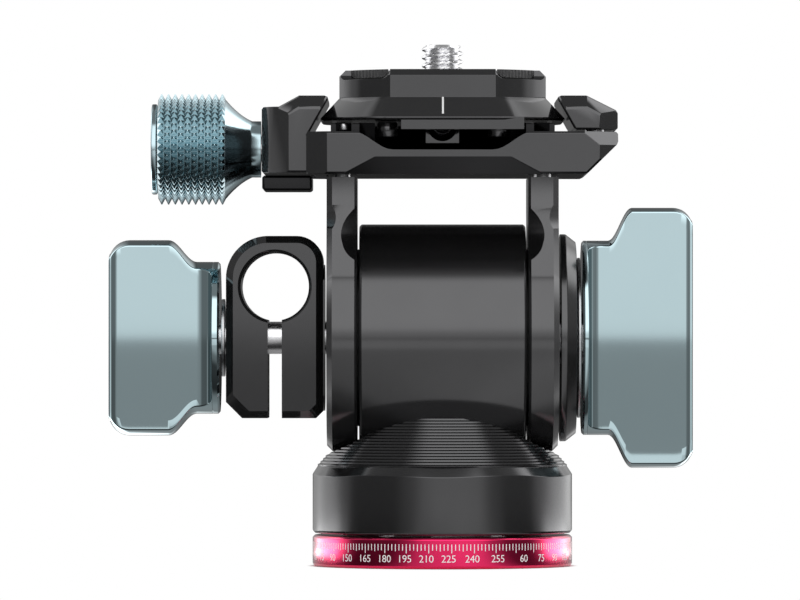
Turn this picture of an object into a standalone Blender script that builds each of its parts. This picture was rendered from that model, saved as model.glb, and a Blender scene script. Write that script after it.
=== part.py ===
"""A small fluid video head: panning base, tilting barrel, handle clamp, lock knobs and quick-release clamp.

Frame: origin on the pan axis at the underside of the degree ring, +X to the tilt-lock knob,
+Y away from the user, +Z up. Units are metres.
"""

import math

import bmesh
import bpy
from mathutils import Matrix, Vector

MM = 0.001

# Gaps and cutter overrun
GAP = 0.3 * MM
THIN_GAP = 0.25 * MM
OVERRUN = 1.0 * MM
EDGE = 0.3 * MM
WELD = 0.01 * MM

# Angles in degrees
EDGE_ANGLE = 40
SMOOTH_ANGLE = 30

# Facets round a full turn
FINE_STEPS = 48
KNOB_STEPS = 36
ROUND_STEPS = 30
HIDDEN_STEPS = 18
SMALL_STEPS = 16
SCREW_STEPS = 8
ARC_STEPS = 4
ARM_ARC_STEPS = 24

# Main radii and heights
BASE_RADIUS = 20.1 * MM
RING_HEIGHT = 4.8 * MM
RIM_RISE = 9.2 * MM
TILT_AXIS_HEIGHT = 35.3 * MM
BARREL_RADIUS = 17.57 * MM
BARREL_HALF_WIDTH = 12.85 * MM

# Degree ring and what it holds
RING_BORE_SHARE = 0.776
RING_CHAMFER = 0.35 * MM
DISC_THICKNESS = 3.0 * MM
SOCKET_RADIUS = 4.6 * MM
INSERT_WALL = 1.0 * MM
SOCKET_DEPTH = 6.0 * MM
SPINDLE_SHARE = 0.628
SPINDLE_FLANGE_SHARE = 0.535
SPINDLE_FLANGE_THICKNESS = 2.2 * MM
DRAG_WASHER_THICKNESS = 1.2 * MM
RETAINER_THICKNESS = 2.6 * MM
BEARING_THICKNESS = 2.2 * MM
BASE_SCREW_PLACE_SHARE = 0.55
BASE_SCREW_HEAD_SHARE = 0.45
BASE_SCREW_SHANK_SHARE = 0.238
BASE_SCREW_HEAD_DEPTH = 1.0 * MM
BASE_SCREW_LENGTH = 6.0 * MM
BASE_SCREWS = 3
HEX_SOCKET_SHARE = 0.5

# Pan housing: rim wave, chamfer and ribbed neck
HOUSING_FOOT_CHAMFER = 0.4 * MM
RIM_WAVE = 0.15 * MM
RIM_WAVES = 6
RIM_CHAMFER_RISE = 1.15 * MM
RIM_CHAMFER_IN = 0.8 * MM
RIBS = 13
RIB_PITCH = 0.62 * MM
RIB_RISER_SHARE = 0.6
NECK_SLOPE_SHARE = 0.9
NECK_CAP_RISE = 1.2 * MM
NECK_CAP_SHARE = 0.93

# Barrel and the drag cartridge inside it
BARREL_EDGE = 0.35 * MM
BARREL_BORE = 14.0 * MM
AXLE_RADIUS = 4.0 * MM
BUSH_SEAT_LENGTH = 4.3 * MM
SLEEVE_WALL = 2.6 * MM
GREASE_FILM = 0.5 * MM

# Arms
ARM_THICKNESS = 4.7 * MM
ARM_OUTER_CHAMFER = 0.85 * MM
ARM_INNER_CHAMFER = 0.42 * MM
ARM_RECESS = 0.6 * MM
ARM_CREASE_RISE = 9.9 * MM
ARM_STEM_HALF_DEPTH = 10.8 * MM
ARM_FILLET_RISE = 11.2 * MM
ARM_FILLET_STEPS = 6
SCALLOP_RADIUS = 6.0 * MM
SCALLOP_RISE = 16.9 * MM
INNER_SCALLOP_BITE = 1.9 * MM
OUTER_SCALLOP_RADIUS = 4.5 * MM
OUTER_SCALLOP_RISE = 19.3 * MM
OUTER_SCALLOP_BITE = 1.5 * MM
AXLE_SEAT_SHARE = 0.5

# Clamp base
CLAMP_RISE = 25.0 * MM
CLAMP_HEIGHT = 6.5 * MM
CLAMP_HALF_DEPTH = 20.0 * MM
CLAMP_LEFT_OVERHANG = 3.05 * MM
CLAMP_RIGHT_OVERHANG = 8.95 * MM
CLAMP_CORNER_RISE = 4.7 * MM
CLAMP_CORNER_IN = 4.8 * MM
CLAMP_EDGE = 0.3 * MM
FORK_DEPTH = 3.3 * MM
CHEEK = 2.8 * MM
SCOOP_DEPTH = 2.8 * MM
SCOOP_HALF_FLOOR = 7.6 * MM
SCOOP_HALF_MOUTH = 13.9 * MM
UNDERCUT_RISE = 2.6 * MM
UNDERCUT_DEPTH = 2.4 * MM
UNDERCUT_HALF_TOP = 10.4 * MM
UNDERCUT_HALF_FOOT = 15.3 * MM
POCKET_HALF_WIDTH = 10.2 * MM
POCKET_HALF_DEPTH = 16.8 * MM
INNER_RAIL = 11.6 * MM
OUTER_RAIL = 15.2 * MM
RAIL_WIDTH = 2.4 * MM
RAIL_HALF_LENGTH = 13.0 * MM
CLAMP_LEFT_BEVEL = 3.2 * MM
CLAMP_RIGHT_BEVEL = 2.9 * MM
BEVEL_SLOPE_SHARE = 0.7
CROSSBAR_FRONT = 5.4 * MM
CROSSBAR_BACK = 8.2 * MM
RAIL_LEAN = 1.8 * MM
CORNER_FACET_DROP = 2.1 * MM
CORNER_FACET_RUN = 2.7 * MM

# Jaws
JAW_RISE = 5.6 * MM
JAW_HALF_DEPTH = 16.9 * MM
JAW_GRIP_SHARE = 0.56
JAW_FLAT = 4.8 * MM
JAW_SHOULDER_DROP = 2.4 * MM
FIXED_JAW_CHAMFER = 0.4 * MM
FIXED_JAW_BEVEL = 2.85 * MM
JAW_BEVEL_DROP = 1.9 * MM
JAW_BEVEL_DEPTH = 1.9 * MM
SLIDING_JAW_REACH = 6.9 * MM
SLIDING_JAW_SHOULDER = 1.7 * MM
SLIDING_JAW_SLOPE = 3.1 * MM
SLIDING_JAW_CORNER = 3.0 * MM
SLIDING_JAW_END = 1.2 * MM
SLIDING_JAW_END_DEPTH = 2.4 * MM
GUIDE_LENGTH = 7.7 * MM
GUIDE_HEIGHT = 2.3 * MM
GUIDE_HALF_DEPTH = 8.0 * MM
GUIDE_PIN_RADIUS = 1.5 * MM
GUIDE_PIN_SPREAD = 11.5 * MM
GUIDE_PIN_RISE = 3.2 * MM
GUIDE_PIN_BITE = 5.4 * MM
JAW_SCREW_RISE = 4.2 * MM
CLAMP_SCREW_RADIUS = 2.0 * MM

# Knurled clamp knob
KNURL_CREST = 8.56 * MM
KNURL_VALLEY = 7.69 * MM
KNURL_PITCH = 1.045 * MM
KNURL_ROWS = 10
KNURL_COUNT = 48
KNURL_NECK = 4.36 * MM
KNURL_CAP_RADIUS = 7.0 * MM
KNURL_CAP_THICKNESS = 0.85 * MM
KNURL_CONE_LENGTH = 4.1 * MM
KNURL_NECK_LENGTH = 1.35 * MM
KNURL_CONE_MIDDLE_SHARE = 0.4
KNURL_CONE_SAG_SHARE = 0.72

# Quick-release plate and camera screw
PLATE_HALF_FOOT = 18.8 * MM
PLATE_HALF_TOP = 15.9 * MM
PLATE_CORNER = 7.85 * MM
PLATE_FOOT_CORNER = 10.2 * MM
PLATE_FOOT_EDGE = 0.25 * MM
PLATE_LAND = 0.45 * MM
PLATE_SLOPE_RISE = 3.1 * MM
PLATE_BODY_RISE = 4.3 * MM
PLATE_BEVEL = 0.95 * MM
PLATE_SEAT_RISE = 1.8 * MM
PAD_DEPTH = 1.5 * MM
PAD_INNER_EDGE = 8.1 * MM
PAD_FILLET = 1.4 * MM
PAD_FILLET_STEPS = 2
PAD_OUTER_RADIUS = 16.4 * MM
KEY_LEFT = 6.4 * MM
KEY_RIGHT = 12.4 * MM
KEY_DEPTH = 1.45 * MM
KEY_WIDTH = 3.0 * MM
STOP_RADIUS = 1.55 * MM
STOP_SPREAD = 8.5 * MM
STOP_REACH = 12.6 * MM
STOP_LENGTH = 2.3 * MM
CAMERA_SCREW_RADIUS = 3.175 * MM
CAMERA_SCREW_HEIGHT = 4.2 * MM
CAMERA_SCREW_LEAD = 0.8 * MM
CAMERA_SCREW_FLANGE = 5.3 * MM
CAMERA_SCREW_FLANGE_THICKNESS = 2.0 * MM
CAMERA_SCREW_HEAD = 1.95 * MM
CAMERA_SCREW_DROP = 2.3 * MM
CRADLE_HALF_WIDTH = 2.6 * MM
CRADLE_WALL = 0.35 * MM
CRADLE_DROP = 3.2 * MM
PIN_RADIUS = 0.65 * MM
PIN_HEIGHT = 1.6 * MM

# Handle clamp
HANDLE_RIGHT_GAP = 0.55 * MM
HANDLE_WIDTH = 15.0 * MM
HANDLE_BELOW_AXIS = 12.4 * MM
HANDLE_ABOVE_AXIS = 15.7 * MM
HANDLE_HALF_DEPTH = 8.0 * MM
HANDLE_CHAMFER = 1.1 * MM
HANDLE_LEFT_ROUND = 6.5 * MM
HANDLE_RIGHT_ROUND = 4.1 * MM
HANDLE_LEFT_CUT = 2.5 * MM
HANDLE_RIGHT_CUT = 1.1 * MM
HANDLE_BORE = 5.25 * MM
HANDLE_BORE_RISE = 7.9 * MM
HANDLE_BORE_FROM_RIGHT = 7.45 * MM
HANDLE_SLOT = 2.15 * MM
HANDLE_BORE_CHAMFER = 0.45 * MM
HANDLE_BOSS_RADIUS = 11.3 * MM
HANDLE_BOSS_THICKNESS = 0.25 * MM
HANDLE_WASHER_RADIUS = 6.0 * MM
HANDLE_WASHER_THICKNESS = 0.5 * MM
BOLT_RADIUS = 2.5 * MM
BOLT_IN_ARM = 1.6 * MM
BOLT_IN_KNOB = 9.0 * MM

# Wing knobs
KNOB_HALF_THICKNESS = 5.0 * MM
KNOB_FLAT_FILLET = 2.4 * MM
KNOB_END_CHAMFER = 1.5 * MM
HANDLE_KNOB_LENGTH = 17.2 * MM
HANDLE_KNOB_RIM = 15.13 * MM
HANDLE_KNOB_HUB = 11.76 * MM
HANDLE_KNOB_HUB_LENGTH = 3.6 * MM
HANDLE_KNOB_FLANGE = 1.15 * MM
HANDLE_KNOB_CURVE = 4.4 * MM
HANDLE_KNOB_ROUND = 3.2 * MM
TILT_KNOB_LENGTH = 17.15 * MM
TILT_KNOB_RIM = 20.14 * MM
TILT_KNOB_HUB = 15.05 * MM
TILT_KNOB_HUB_LENGTH = 4.1 * MM
TILT_KNOB_FLANGE = 0.85 * MM
TILT_KNOB_CURVE = 3.7 * MM
TILT_KNOB_ROUND = 3.0 * MM

# Tilt friction disc and spacer
DISC_RADIUS = 16.05 * MM
DISC_WIDTH = 2.5 * MM
DISC_RIM_WIDTH = 0.9 * MM
DISC_CHAMFER_IN = 1.25 * MM
SPACER_RADIUS = 12.4 * MM
SPACER_WIDTH = 0.4 * MM
AXLE_IN_KNOB = 11.0 * MM

# Screws that join the clamp base to the arms and hold the fixed jaw
CAP_SCREW_SHANK = 1.2 * MM
CAP_SCREW_HEAD = 2.1 * MM
CAP_SCREW_HEAD_HEIGHT = 1.6 * MM
CAP_SCREW_BITE = 5.0 * MM
ARM_SCREW_SPREAD = 6.0 * MM
JAW_SCREW_SPREAD = 10.5 * MM
JAW_SCREW_BITE = 3.6 * MM

# Heights and places worked out from the sizes above
RING_BORE = BASE_RADIUS * RING_BORE_SHARE
INSERT_RADIUS = SOCKET_RADIUS + INSERT_WALL
SPINDLE_RADIUS = RING_BORE * SPINDLE_SHARE
SCREW_ROOM = SPINDLE_RADIUS - INSERT_RADIUS
BASE_SCREW_CIRCLE = INSERT_RADIUS + SCREW_ROOM * BASE_SCREW_PLACE_SHARE
BASE_SCREW_HEAD = SCREW_ROOM * BASE_SCREW_HEAD_SHARE
BASE_SCREW_SHANK = SCREW_ROOM * BASE_SCREW_SHANK_SHARE
SPINDLE_FLANGE = SPINDLE_RADIUS + (RING_BORE - SPINDLE_RADIUS) * SPINDLE_FLANGE_SHARE
HOUSING_FOOT = RING_HEIGHT + GAP
RIM_HEIGHT = HOUSING_FOOT + RIM_RISE
CLAMP_BOTTOM = TILT_AXIS_HEIGHT + CLAMP_RISE
CLAMP_TOP = CLAMP_BOTTOM + CLAMP_HEIGHT
ARM_INNER = BARREL_HALF_WIDTH + GAP
ARM_OUTER = ARM_INNER + ARM_THICKNESS
CLAMP_LEFT = ARM_OUTER + CLAMP_LEFT_OVERHANG
CLAMP_RIGHT = ARM_OUTER + CLAMP_RIGHT_OVERHANG
SLIDING_JAW_LEFT = CLAMP_LEFT + SLIDING_JAW_REACH
PLATE_FOOT = CLAMP_TOP + PLATE_SEAT_RISE
PLATE_EDGE = PLATE_FOOT + PLATE_LAND
PLATE_SHOULDER = PLATE_EDGE + PLATE_SLOPE_RISE
PLATE_TOP = PLATE_SHOULDER + PLATE_BODY_RISE
PAD_FLOOR = PLATE_TOP - PAD_DEPTH
JAW_TOP = CLAMP_TOP + JAW_RISE
SCREW_AXIS_HEIGHT = CLAMP_BOTTOM + JAW_SCREW_RISE
POCKET_FLOOR = CLAMP_TOP - SCOOP_DEPTH
BOLT_HOLE = BOLT_RADIUS + GAP
AXLE_HOLE = AXLE_RADIUS + GAP
TILT_AXIS = Vector((0, 0, TILT_AXIS_HEIGHT))
TO_X = Matrix.Rotation(math.pi / 2, 4, "Y")
TO_MINUS_X = Matrix.Rotation(-math.pi / 2, 4, "Y")


# Scene, collections and materials


def clear_scene():
    for old in list(bpy.data.objects):
        bpy.data.objects.remove(old, do_unlink=True)


def new_collection(name, shown=True):
    collection = bpy.data.collections.new(name)
    collection.hide_render = not shown
    bpy.context.scene.collection.children.link(collection)
    return collection


clear_scene()
PARTS = new_collection("fluid_video_head")
CUTTERS = new_collection("cutters", shown=False)

BLACK = (0.028, 0.028, 0.030)
BLUE_GREY = (0.20, 0.29, 0.33)
MAGENTA = (0.62, 0.012, 0.13)
STEEL = (0.55, 0.55, 0.56)
BRASS = (0.48, 0.33, 0.13)
RUBBER = (0.022, 0.022, 0.022)
POLYMER = (0.60, 0.58, 0.52)

ANODISED = {"metallic": 0.85, "roughness": 0.38}
POLISHED = {"metallic": 1.0, "roughness": 0.18}
TURNED_METAL = {"metallic": 1.0, "roughness": 0.30}
SOFT = {"metallic": 0.0, "roughness": 0.75}


def dress(obj, colour, finish):
    """Gives the object its own Principled material."""
    material = bpy.data.materials.new(obj.name + "_finish")
    material.use_nodes = True
    shader = material.node_tree.nodes["Principled BSDF"]
    shader.inputs["Base Color"].default_value = (*colour, 1)
    shader.inputs["Metallic"].default_value = finish["metallic"]
    shader.inputs["Roughness"].default_value = finish["roughness"]
    obj.data.materials.clear()
    obj.data.materials.append(material)
    return obj


# Empties on the joint axes


def pivot(name, place, parent=None):
    """An empty on a joint's axis; pieces that turn or slide there are its children."""
    empty = bpy.data.objects.new(name, None)
    PARTS.objects.link(empty)
    empty.location = place
    if parent:
        join(empty, parent)
    bpy.context.view_layer.update()
    return empty


def join(child, parent):
    """Parents without moving the child."""
    bpy.context.view_layer.update()
    child.parent = parent
    child.matrix_parent_inverse = parent.matrix_world.inverted()
    return child


# Shapes


def link(obj, cutter):
    (CUTTERS if cutter else PARTS).objects.link(obj)
    if cutter:
        obj.hide_render = True
        obj.display_type = "WIRE"
    return obj


def turned(name, profile, turn=ROUND_STEPS, place=(0, 0, 0), heading=None, cutter=False):
    """A turned piece. The profile is (radius, height) pairs, down the outer side and then up any bore."""
    mesh = bpy.data.meshes.new(name)
    shape = bmesh.new()
    points = [shape.verts.new((radius, 0, height)) for radius, height in profile]
    for first, second in zip(points, points[1:]):
        shape.edges.new((first, second))
    if profile[0][0] > 0 and profile[-1][0] > 0:
        shape.edges.new((points[-1], points[0]))
    shape.to_mesh(mesh)
    shape.free()
    obj = bpy.data.objects.new(name, mesh)
    screw = obj.modifiers.new("turn", "SCREW")
    screw.axis = "Z"
    screw.angle = math.tau
    screw.steps = turn
    screw.render_steps = turn
    screw.use_merge_vertices = True
    screw.merge_threshold = WELD
    screw.use_smooth_shade = True
    obj.location = place
    if heading:
        obj.rotation_euler = heading.to_euler()
    return link(obj, cutter)


def rod(name, radius, start, end, turn=SMALL_STEPS, heading=None, place=(0, 0, 0), cutter=False):
    """A plain round bar from start to end along its own axis."""
    profile = [(0, end), (radius, end), (radius, start), (0, start)]
    return turned(name, profile, turn, place, heading, cutter)


def tube(name, outer, inner, start, end, turn=ROUND_STEPS, heading=None, place=(0, 0, 0), cutter=False):
    profile = [(outer, end), (outer, start), (inner, start), (inner, end)]
    return turned(name, profile, turn, place, heading, cutter)


def block(name, low, high, cutter=False):
    """A box between two corners, from the cube primitive."""
    mesh = bpy.data.meshes.new(name)
    shape = bmesh.new()
    bmesh.ops.create_cube(shape, size=1)
    size = Vector(high) - Vector(low)
    middle = (Vector(high) + Vector(low)) / 2
    bmesh.ops.transform(shape, matrix=Matrix.Diagonal((*size, 1)), verts=shape.verts)
    bmesh.ops.translate(shape, vec=middle, verts=shape.verts)
    shape.to_mesh(mesh)
    shape.free()
    return link(bpy.data.objects.new(name, mesh), cutter)


def lofted(name, sections, cutter=False):
    """A skin over closed sections with the same number of points, capped at both ends."""
    mesh = bpy.data.meshes.new(name)
    shape = bmesh.new()
    rings = [[shape.verts.new(point) for point in section] for section in sections]
    for lower, upper in zip(rings, rings[1:]):
        for i in range(len(lower)):
            j = (i + 1) % len(lower)
            shape.faces.new((lower[i], lower[j], upper[j], upper[i]))
    shape.faces.new(list(reversed(rings[0])))
    shape.faces.new(rings[-1])
    bmesh.ops.recalc_face_normals(shape, faces=shape.faces)
    shape.to_mesh(mesh)
    shape.free()
    return link(bpy.data.objects.new(name, mesh), cutter)


def prism(name, outline, low, high, axis="Y", cutter=False):
    """A flat outline pulled straight from low to high along an axis."""
    return lofted(name, [laid(outline, low, axis), laid(outline, high, axis)], cutter)


def laid(outline, level, axis):
    """The outline's points in space, at a level along the axis."""
    if axis == "X":
        return [(level, first, second) for first, second in outline]
    if axis == "Y":
        return [(first, level, second) for first, second in outline]
    return [(first, second, level) for first, second in outline]


def arc(middle, radius, start, end, steps=ARC_STEPS):
    """Points on an arc, from one angle to another."""
    points = []
    for i in range(steps + 1):
        angle = start + (end - start) * i / steps
        points.append((middle[0] + radius * math.cos(angle), middle[1] + radius * math.sin(angle)))
    return points


def cut(target, tool, operation="DIFFERENCE"):
    step = target.modifiers.new(tool.name, "BOOLEAN")
    step.operation = operation
    step.object = tool
    step.solver = "EXACT"
    return target


def add(target, tool):
    return cut(target, tool, "UNION")


def chamfer(obj, width, degrees=EDGE_ANGLE, segments=1):
    bevel = obj.modifiers.new("edges", "BEVEL")
    bevel.width = width
    bevel.segments = segments
    bevel.limit_method = "ANGLE"
    bevel.angle_limit = math.radians(degrees)
    return obj


def smooth(obj, degrees=SMOOTH_ANGLE):
    """Rounds shade smooth and real edges stay sharp."""
    obj.data.shade_smooth()
    obj.data.set_sharp_from_angle(angle=math.radians(degrees))
    return obj


# Base: degree ring, mounting disc, tripod socket and spindle


def degree_ring():
    profile = [
        (BASE_RADIUS - RING_CHAMFER, RING_HEIGHT),
        (BASE_RADIUS, RING_HEIGHT - RING_CHAMFER),
        (BASE_RADIUS, RING_CHAMFER),
        (BASE_RADIUS - RING_CHAMFER, 0),
        (RING_BORE, 0),
        (RING_BORE, RING_HEIGHT),
    ]
    return dress(turned("degree_ring", profile, FINE_STEPS), MAGENTA, ANODISED)


def base_screw_place(i):
    angle = math.tau * i / BASE_SCREWS + math.pi / 2
    return (BASE_SCREW_CIRCLE * math.cos(angle), BASE_SCREW_CIRCLE * math.sin(angle), 0)


def base_screws():
    """Countersunk screws in the underside, heads down."""
    made = []
    head = BASE_SCREW_HEAD
    shank = BASE_SCREW_SHANK
    profile = [
        (0, BASE_SCREW_LENGTH),
        (shank, BASE_SCREW_LENGTH),
        (shank, BASE_SCREW_HEAD_DEPTH),
        (head, EDGE),
        (head, EDGE / 2),
        (head * HEX_SOCKET_SHARE, EDGE / 2),
        (0, BASE_SCREW_HEAD_DEPTH),
    ]
    for i in range(BASE_SCREWS):
        screw = turned(f"base_screw_{i + 1}", profile, SCREW_STEPS, base_screw_place(i))
        made.append(dress(screw, STEEL, TURNED_METAL))
    return made


def screw_cutter(name, i, top):
    """The clearance hole for one base screw, open below."""
    wide = BASE_SCREW_HEAD + GAP
    slim = BASE_SCREW_SHANK + GAP
    profile = [
        (0, top),
        (slim, top),
        (slim, BASE_SCREW_HEAD_DEPTH + GAP),
        (wide, EDGE),
        (wide, -OVERRUN),
        (0, -OVERRUN),
    ]
    return turned(name, profile, SCREW_STEPS, base_screw_place(i), cutter=True)


def mount_disc():
    radius = RING_BORE - GAP
    profile = [
        (radius, DISC_THICKNESS),
        (radius, 0),
        (INSERT_RADIUS + GAP, 0),
        (INSERT_RADIUS + GAP, DISC_THICKNESS),
    ]
    disc = turned("mount_disc", profile, ROUND_STEPS)
    for i in range(BASE_SCREWS):
        cut(disc, screw_cutter(f"mount_disc_screw_hole_{i + 1}", i, DISC_THICKNESS + OVERRUN))
    return dress(disc, BLACK, ANODISED)


def thread_insert():
    insert = tube("thread_insert", INSERT_RADIUS, SOCKET_RADIUS, 0, SOCKET_DEPTH, SMALL_STEPS)
    return dress(insert, STEEL, TURNED_METAL)


def spindle_levels():
    """Foot, shoulder and top heights of the spindle's outer side."""
    foot = DISC_THICKNESS + GAP
    bearing = HOUSING_FOOT + RETAINER_THICKNESS + GAP
    shoulder = bearing + BEARING_THICKNESS + GAP
    return foot, bearing, shoulder, shoulder + SPINDLE_FLANGE_THICKNESS


def pan_spindle():
    foot, _, shoulder, top = spindle_levels()
    bore = INSERT_RADIUS + GAP
    profile = [
        (0, top),
        (SPINDLE_FLANGE, top),
        (SPINDLE_FLANGE, shoulder),
        (SPINDLE_RADIUS, shoulder),
        (SPINDLE_RADIUS, foot),
        (bore, foot),
        (bore, SOCKET_DEPTH + GAP),
        (0, SOCKET_DEPTH + GAP),
    ]
    spindle = turned("pan_spindle", profile, HIDDEN_STEPS)
    for i in range(BASE_SCREWS):
        cut(spindle, screw_cutter(f"spindle_screw_hole_{i + 1}", i, BASE_SCREW_LENGTH + GAP))
    return dress(spindle, STEEL, TURNED_METAL)


def pan_drag_washer():
    foot = DISC_THICKNESS + GAP
    inner = SPINDLE_RADIUS + GAP
    end = foot + DRAG_WASHER_THICKNESS
    washer = tube("pan_drag_washer", RING_BORE - GAP, inner, foot, end, HIDDEN_STEPS)
    return dress(washer, POLYMER, SOFT)


def pan_retainer():
    ring = tube(
        "pan_retainer",
        RING_BORE - GAP,
        SPINDLE_RADIUS + GAP,
        HOUSING_FOOT,
        HOUSING_FOOT + RETAINER_THICKNESS,
        HIDDEN_STEPS,
    )
    return dress(ring, BRASS, TURNED_METAL)


def pan_bearing():
    _, low, _, _ = spindle_levels()
    inner = SPINDLE_RADIUS + GAP
    high = low + BEARING_THICKNESS
    ring = tube("pan_bearing", SPINDLE_FLANGE, inner, low, high, HIDDEN_STEPS)
    return dress(ring, BRASS, TURNED_METAL)


# Pan housing: rim, ribbed neck and barrel in one casting


def housing_section(radius, height, wave_in=0.0, wave_down=0.0):
    """One ring round the pan axis, with the rim's slow wave in radius or height."""
    points = []
    for i in range(FINE_STEPS):
        angle = math.tau * i / FINE_STEPS
        swing = (1 - math.cos(RIM_WAVES * angle)) / 2
        reach = radius - wave_in * swing
        points.append((reach * math.cos(angle), reach * math.sin(angle), height - wave_down * swing))
    return points


def neck_radius(height):
    foot = RIM_HEIGHT + RIM_CHAMFER_RISE
    return BASE_RADIUS - RIM_CHAMFER_IN - NECK_SLOPE_SHARE * (height - foot)


def housing_sections():
    neck_foot = RIM_HEIGHT + RIM_CHAMFER_RISE
    wave = 2 * RIM_WAVE
    sections = [
        housing_section(BASE_RADIUS - HOUSING_FOOT_CHAMFER, HOUSING_FOOT),
        housing_section(BASE_RADIUS, HOUSING_FOOT + HOUSING_FOOT_CHAMFER),
        housing_section(BASE_RADIUS, RIM_HEIGHT, 0.0, wave),
    ]
    for rib in range(RIBS):
        low = neck_foot + rib * RIB_PITCH
        high = low + RIB_PITCH * RIB_RISER_SHARE
        radius = neck_radius(low)
        sections.append(housing_section(radius, low, wave if rib == 0 else 0.0))
        sections.append(housing_section(radius, high))
    top = neck_foot + RIBS * RIB_PITCH
    sections.append(housing_section(neck_radius(top), top))
    sections.append(housing_section(neck_radius(top) * NECK_CAP_SHARE, top + NECK_CAP_RISE))
    return sections


def barrel_body():
    half = BARREL_HALF_WIDTH
    radius = BARREL_RADIUS
    profile = [
        (0, half),
        (radius - BARREL_EDGE, half),
        (radius, half - BARREL_EDGE),
        (radius, BARREL_EDGE - half),
        (radius - BARREL_EDGE, -half),
        (0, -half),
    ]
    return turned("barrel_body", profile, FINE_STEPS, TILT_AXIS, TO_X, cutter=True)


def housing_bore():
    """The stepped bore that takes the retainer, the bearing and the spindle's flange."""
    _, low, _, top = spindle_levels()
    wide = RING_BORE
    slim = SPINDLE_FLANGE + GAP
    ledge = low - GAP / 2
    profile = [
        (0, top + GAP),
        (slim, top + GAP),
        (slim, ledge),
        (wide, ledge),
        (wide, HOUSING_FOOT - OVERRUN),
        (0, HOUSING_FOOT - OVERRUN),
    ]
    return turned("housing_bore", profile, ROUND_STEPS, cutter=True)


def pan_housing():
    housing = lofted("pan_housing", housing_sections())
    clear = BARREL_RADIUS + 2 * GAP
    for side, heading in (("right", TO_X), ("left", TO_MINUS_X)):
        reach = BASE_RADIUS + OVERRUN
        swing = rod(
            f"arm_clearance_{side}", clear, BARREL_HALF_WIDTH, reach, FINE_STEPS, heading, TILT_AXIS, True
        )
        cut(housing, swing)
    add(housing, barrel_body())
    end = BARREL_HALF_WIDTH + OVERRUN
    cut(housing, rod("barrel_bore", BARREL_BORE, -end, end, ROUND_STEPS, TO_X, TILT_AXIS, True))
    cut(housing, housing_bore())
    return dress(smooth(housing), BLACK, ANODISED)


def barrel_bush(side, heading):
    """The bush that carries the axle and keeps the arm off the barrel, in a shallow recess of the arm."""
    outer = BARREL_BORE - GAP
    start = BARREL_HALF_WIDTH - BUSH_SEAT_LENGTH
    end = ARM_INNER + ARM_RECESS - GAP
    bush = tube(f"tilt_bush_{side}", outer, AXLE_HOLE, start, end, HIDDEN_STEPS, heading, TILT_AXIS)
    return dress(bush, BLACK, SOFT)


def drag_half_length():
    return BARREL_HALF_WIDTH - BUSH_SEAT_LENGTH - GAP


def drag_sleeve():
    half = drag_half_length()
    outer = BARREL_BORE - GAP
    inner = outer - SLEEVE_WALL
    sleeve = tube("drag_sleeve", outer, inner, -half, half, HIDDEN_STEPS, TO_X, TILT_AXIS)
    return dress(sleeve, STEEL, TURNED_METAL)


# Tilting side: axle, rotor, arms, disc and clamp base


def drag_rotor():
    half = drag_half_length() - GAP
    outer = BARREL_BORE - GAP - SLEEVE_WALL - GREASE_FILM
    rotor = tube("drag_rotor", outer, AXLE_HOLE, -half, half, HIDDEN_STEPS, TO_X, TILT_AXIS)
    return dress(rotor, STEEL, TURNED_METAL)


def knob_hub_face():
    """Where the tilt knob's hub starts along X."""
    return ARM_OUTER + GAP + DISC_WIDTH + THIN_GAP + SPACER_WIDTH + THIN_GAP


def tilt_axle():
    left = -(ARM_INNER + ARM_THICKNESS * AXLE_SEAT_SHARE)
    right = knob_hub_face() + AXLE_IN_KNOB
    axle = rod("tilt_axle", AXLE_RADIUS, left, right, HIDDEN_STEPS, TO_X, TILT_AXIS)
    return dress(axle, STEEL, TURNED_METAL)


def arm_outline(inset):
    """Side outline (Y, Z) of an arm: round about the axle, drawn in to a stem that carries the clamp."""
    radius = BARREL_RADIUS - inset
    crease = math.asin(ARM_CREASE_RISE / BARREL_RADIUS)
    axis = (0, TILT_AXIS_HEIGHT)
    stem = ARM_STEM_HALF_DEPTH - inset
    top = CLAMP_BOTTOM - GAP
    crease_y = radius * math.cos(crease)
    crease_z = TILT_AXIS_HEIGHT + radius * math.sin(crease)
    round_part = arc(axis, radius, crease, -math.pi - crease, ARM_ARC_STEPS)
    rise = ARM_FILLET_RISE
    lean = 2 * math.atan((crease_y - stem) / rise)
    bend = rise / math.sin(lean)
    right = []
    for i in range(1, ARM_FILLET_STEPS + 1):
        angle = lean * (1 - i / ARM_FILLET_STEPS)
        outward = bend * (1 - math.cos(angle))
        right.append((stem + outward, crease_z + rise - bend * math.sin(angle)))
    left = [(-y, z) for y, z in right]
    return round_part + left + [(-stem, top), (stem, top)] + list(reversed(right))


def arm_scallops(side, sign):
    """Round bites out of the stem's four upright corners."""
    made = []
    sizes = (
        ("inner", ARM_INNER, -1, SCALLOP_RADIUS, SCALLOP_RISE, INNER_SCALLOP_BITE),
        ("outer", ARM_OUTER, 1, OUTER_SCALLOP_RADIUS, OUTER_SCALLOP_RISE, OUTER_SCALLOP_BITE),
    )
    for which, face, outward, radius, rise, bite in sizes:
        for end, depth in (("front", -1), ("back", 1)):
            out = Vector((sign * outward, depth, 0)).normalized()
            along = Vector((-out.y, out.x, 0))
            corner = Vector((sign * face, depth * ARM_STEM_HALF_DEPTH, TILT_AXIS_HEIGHT + rise))
            middle = corner + out * (radius - bite * math.sqrt(0.5))
            heading = along.to_track_quat("Z", "Y").to_matrix().to_4x4()
            reach = ARM_THICKNESS + 2 * bite
            name = f"{side}_arm_{which}_{end}_scallop"
            made.append(rod(name, radius, -reach, reach, SMALL_STEPS, heading, middle, True))
    return made


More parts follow.
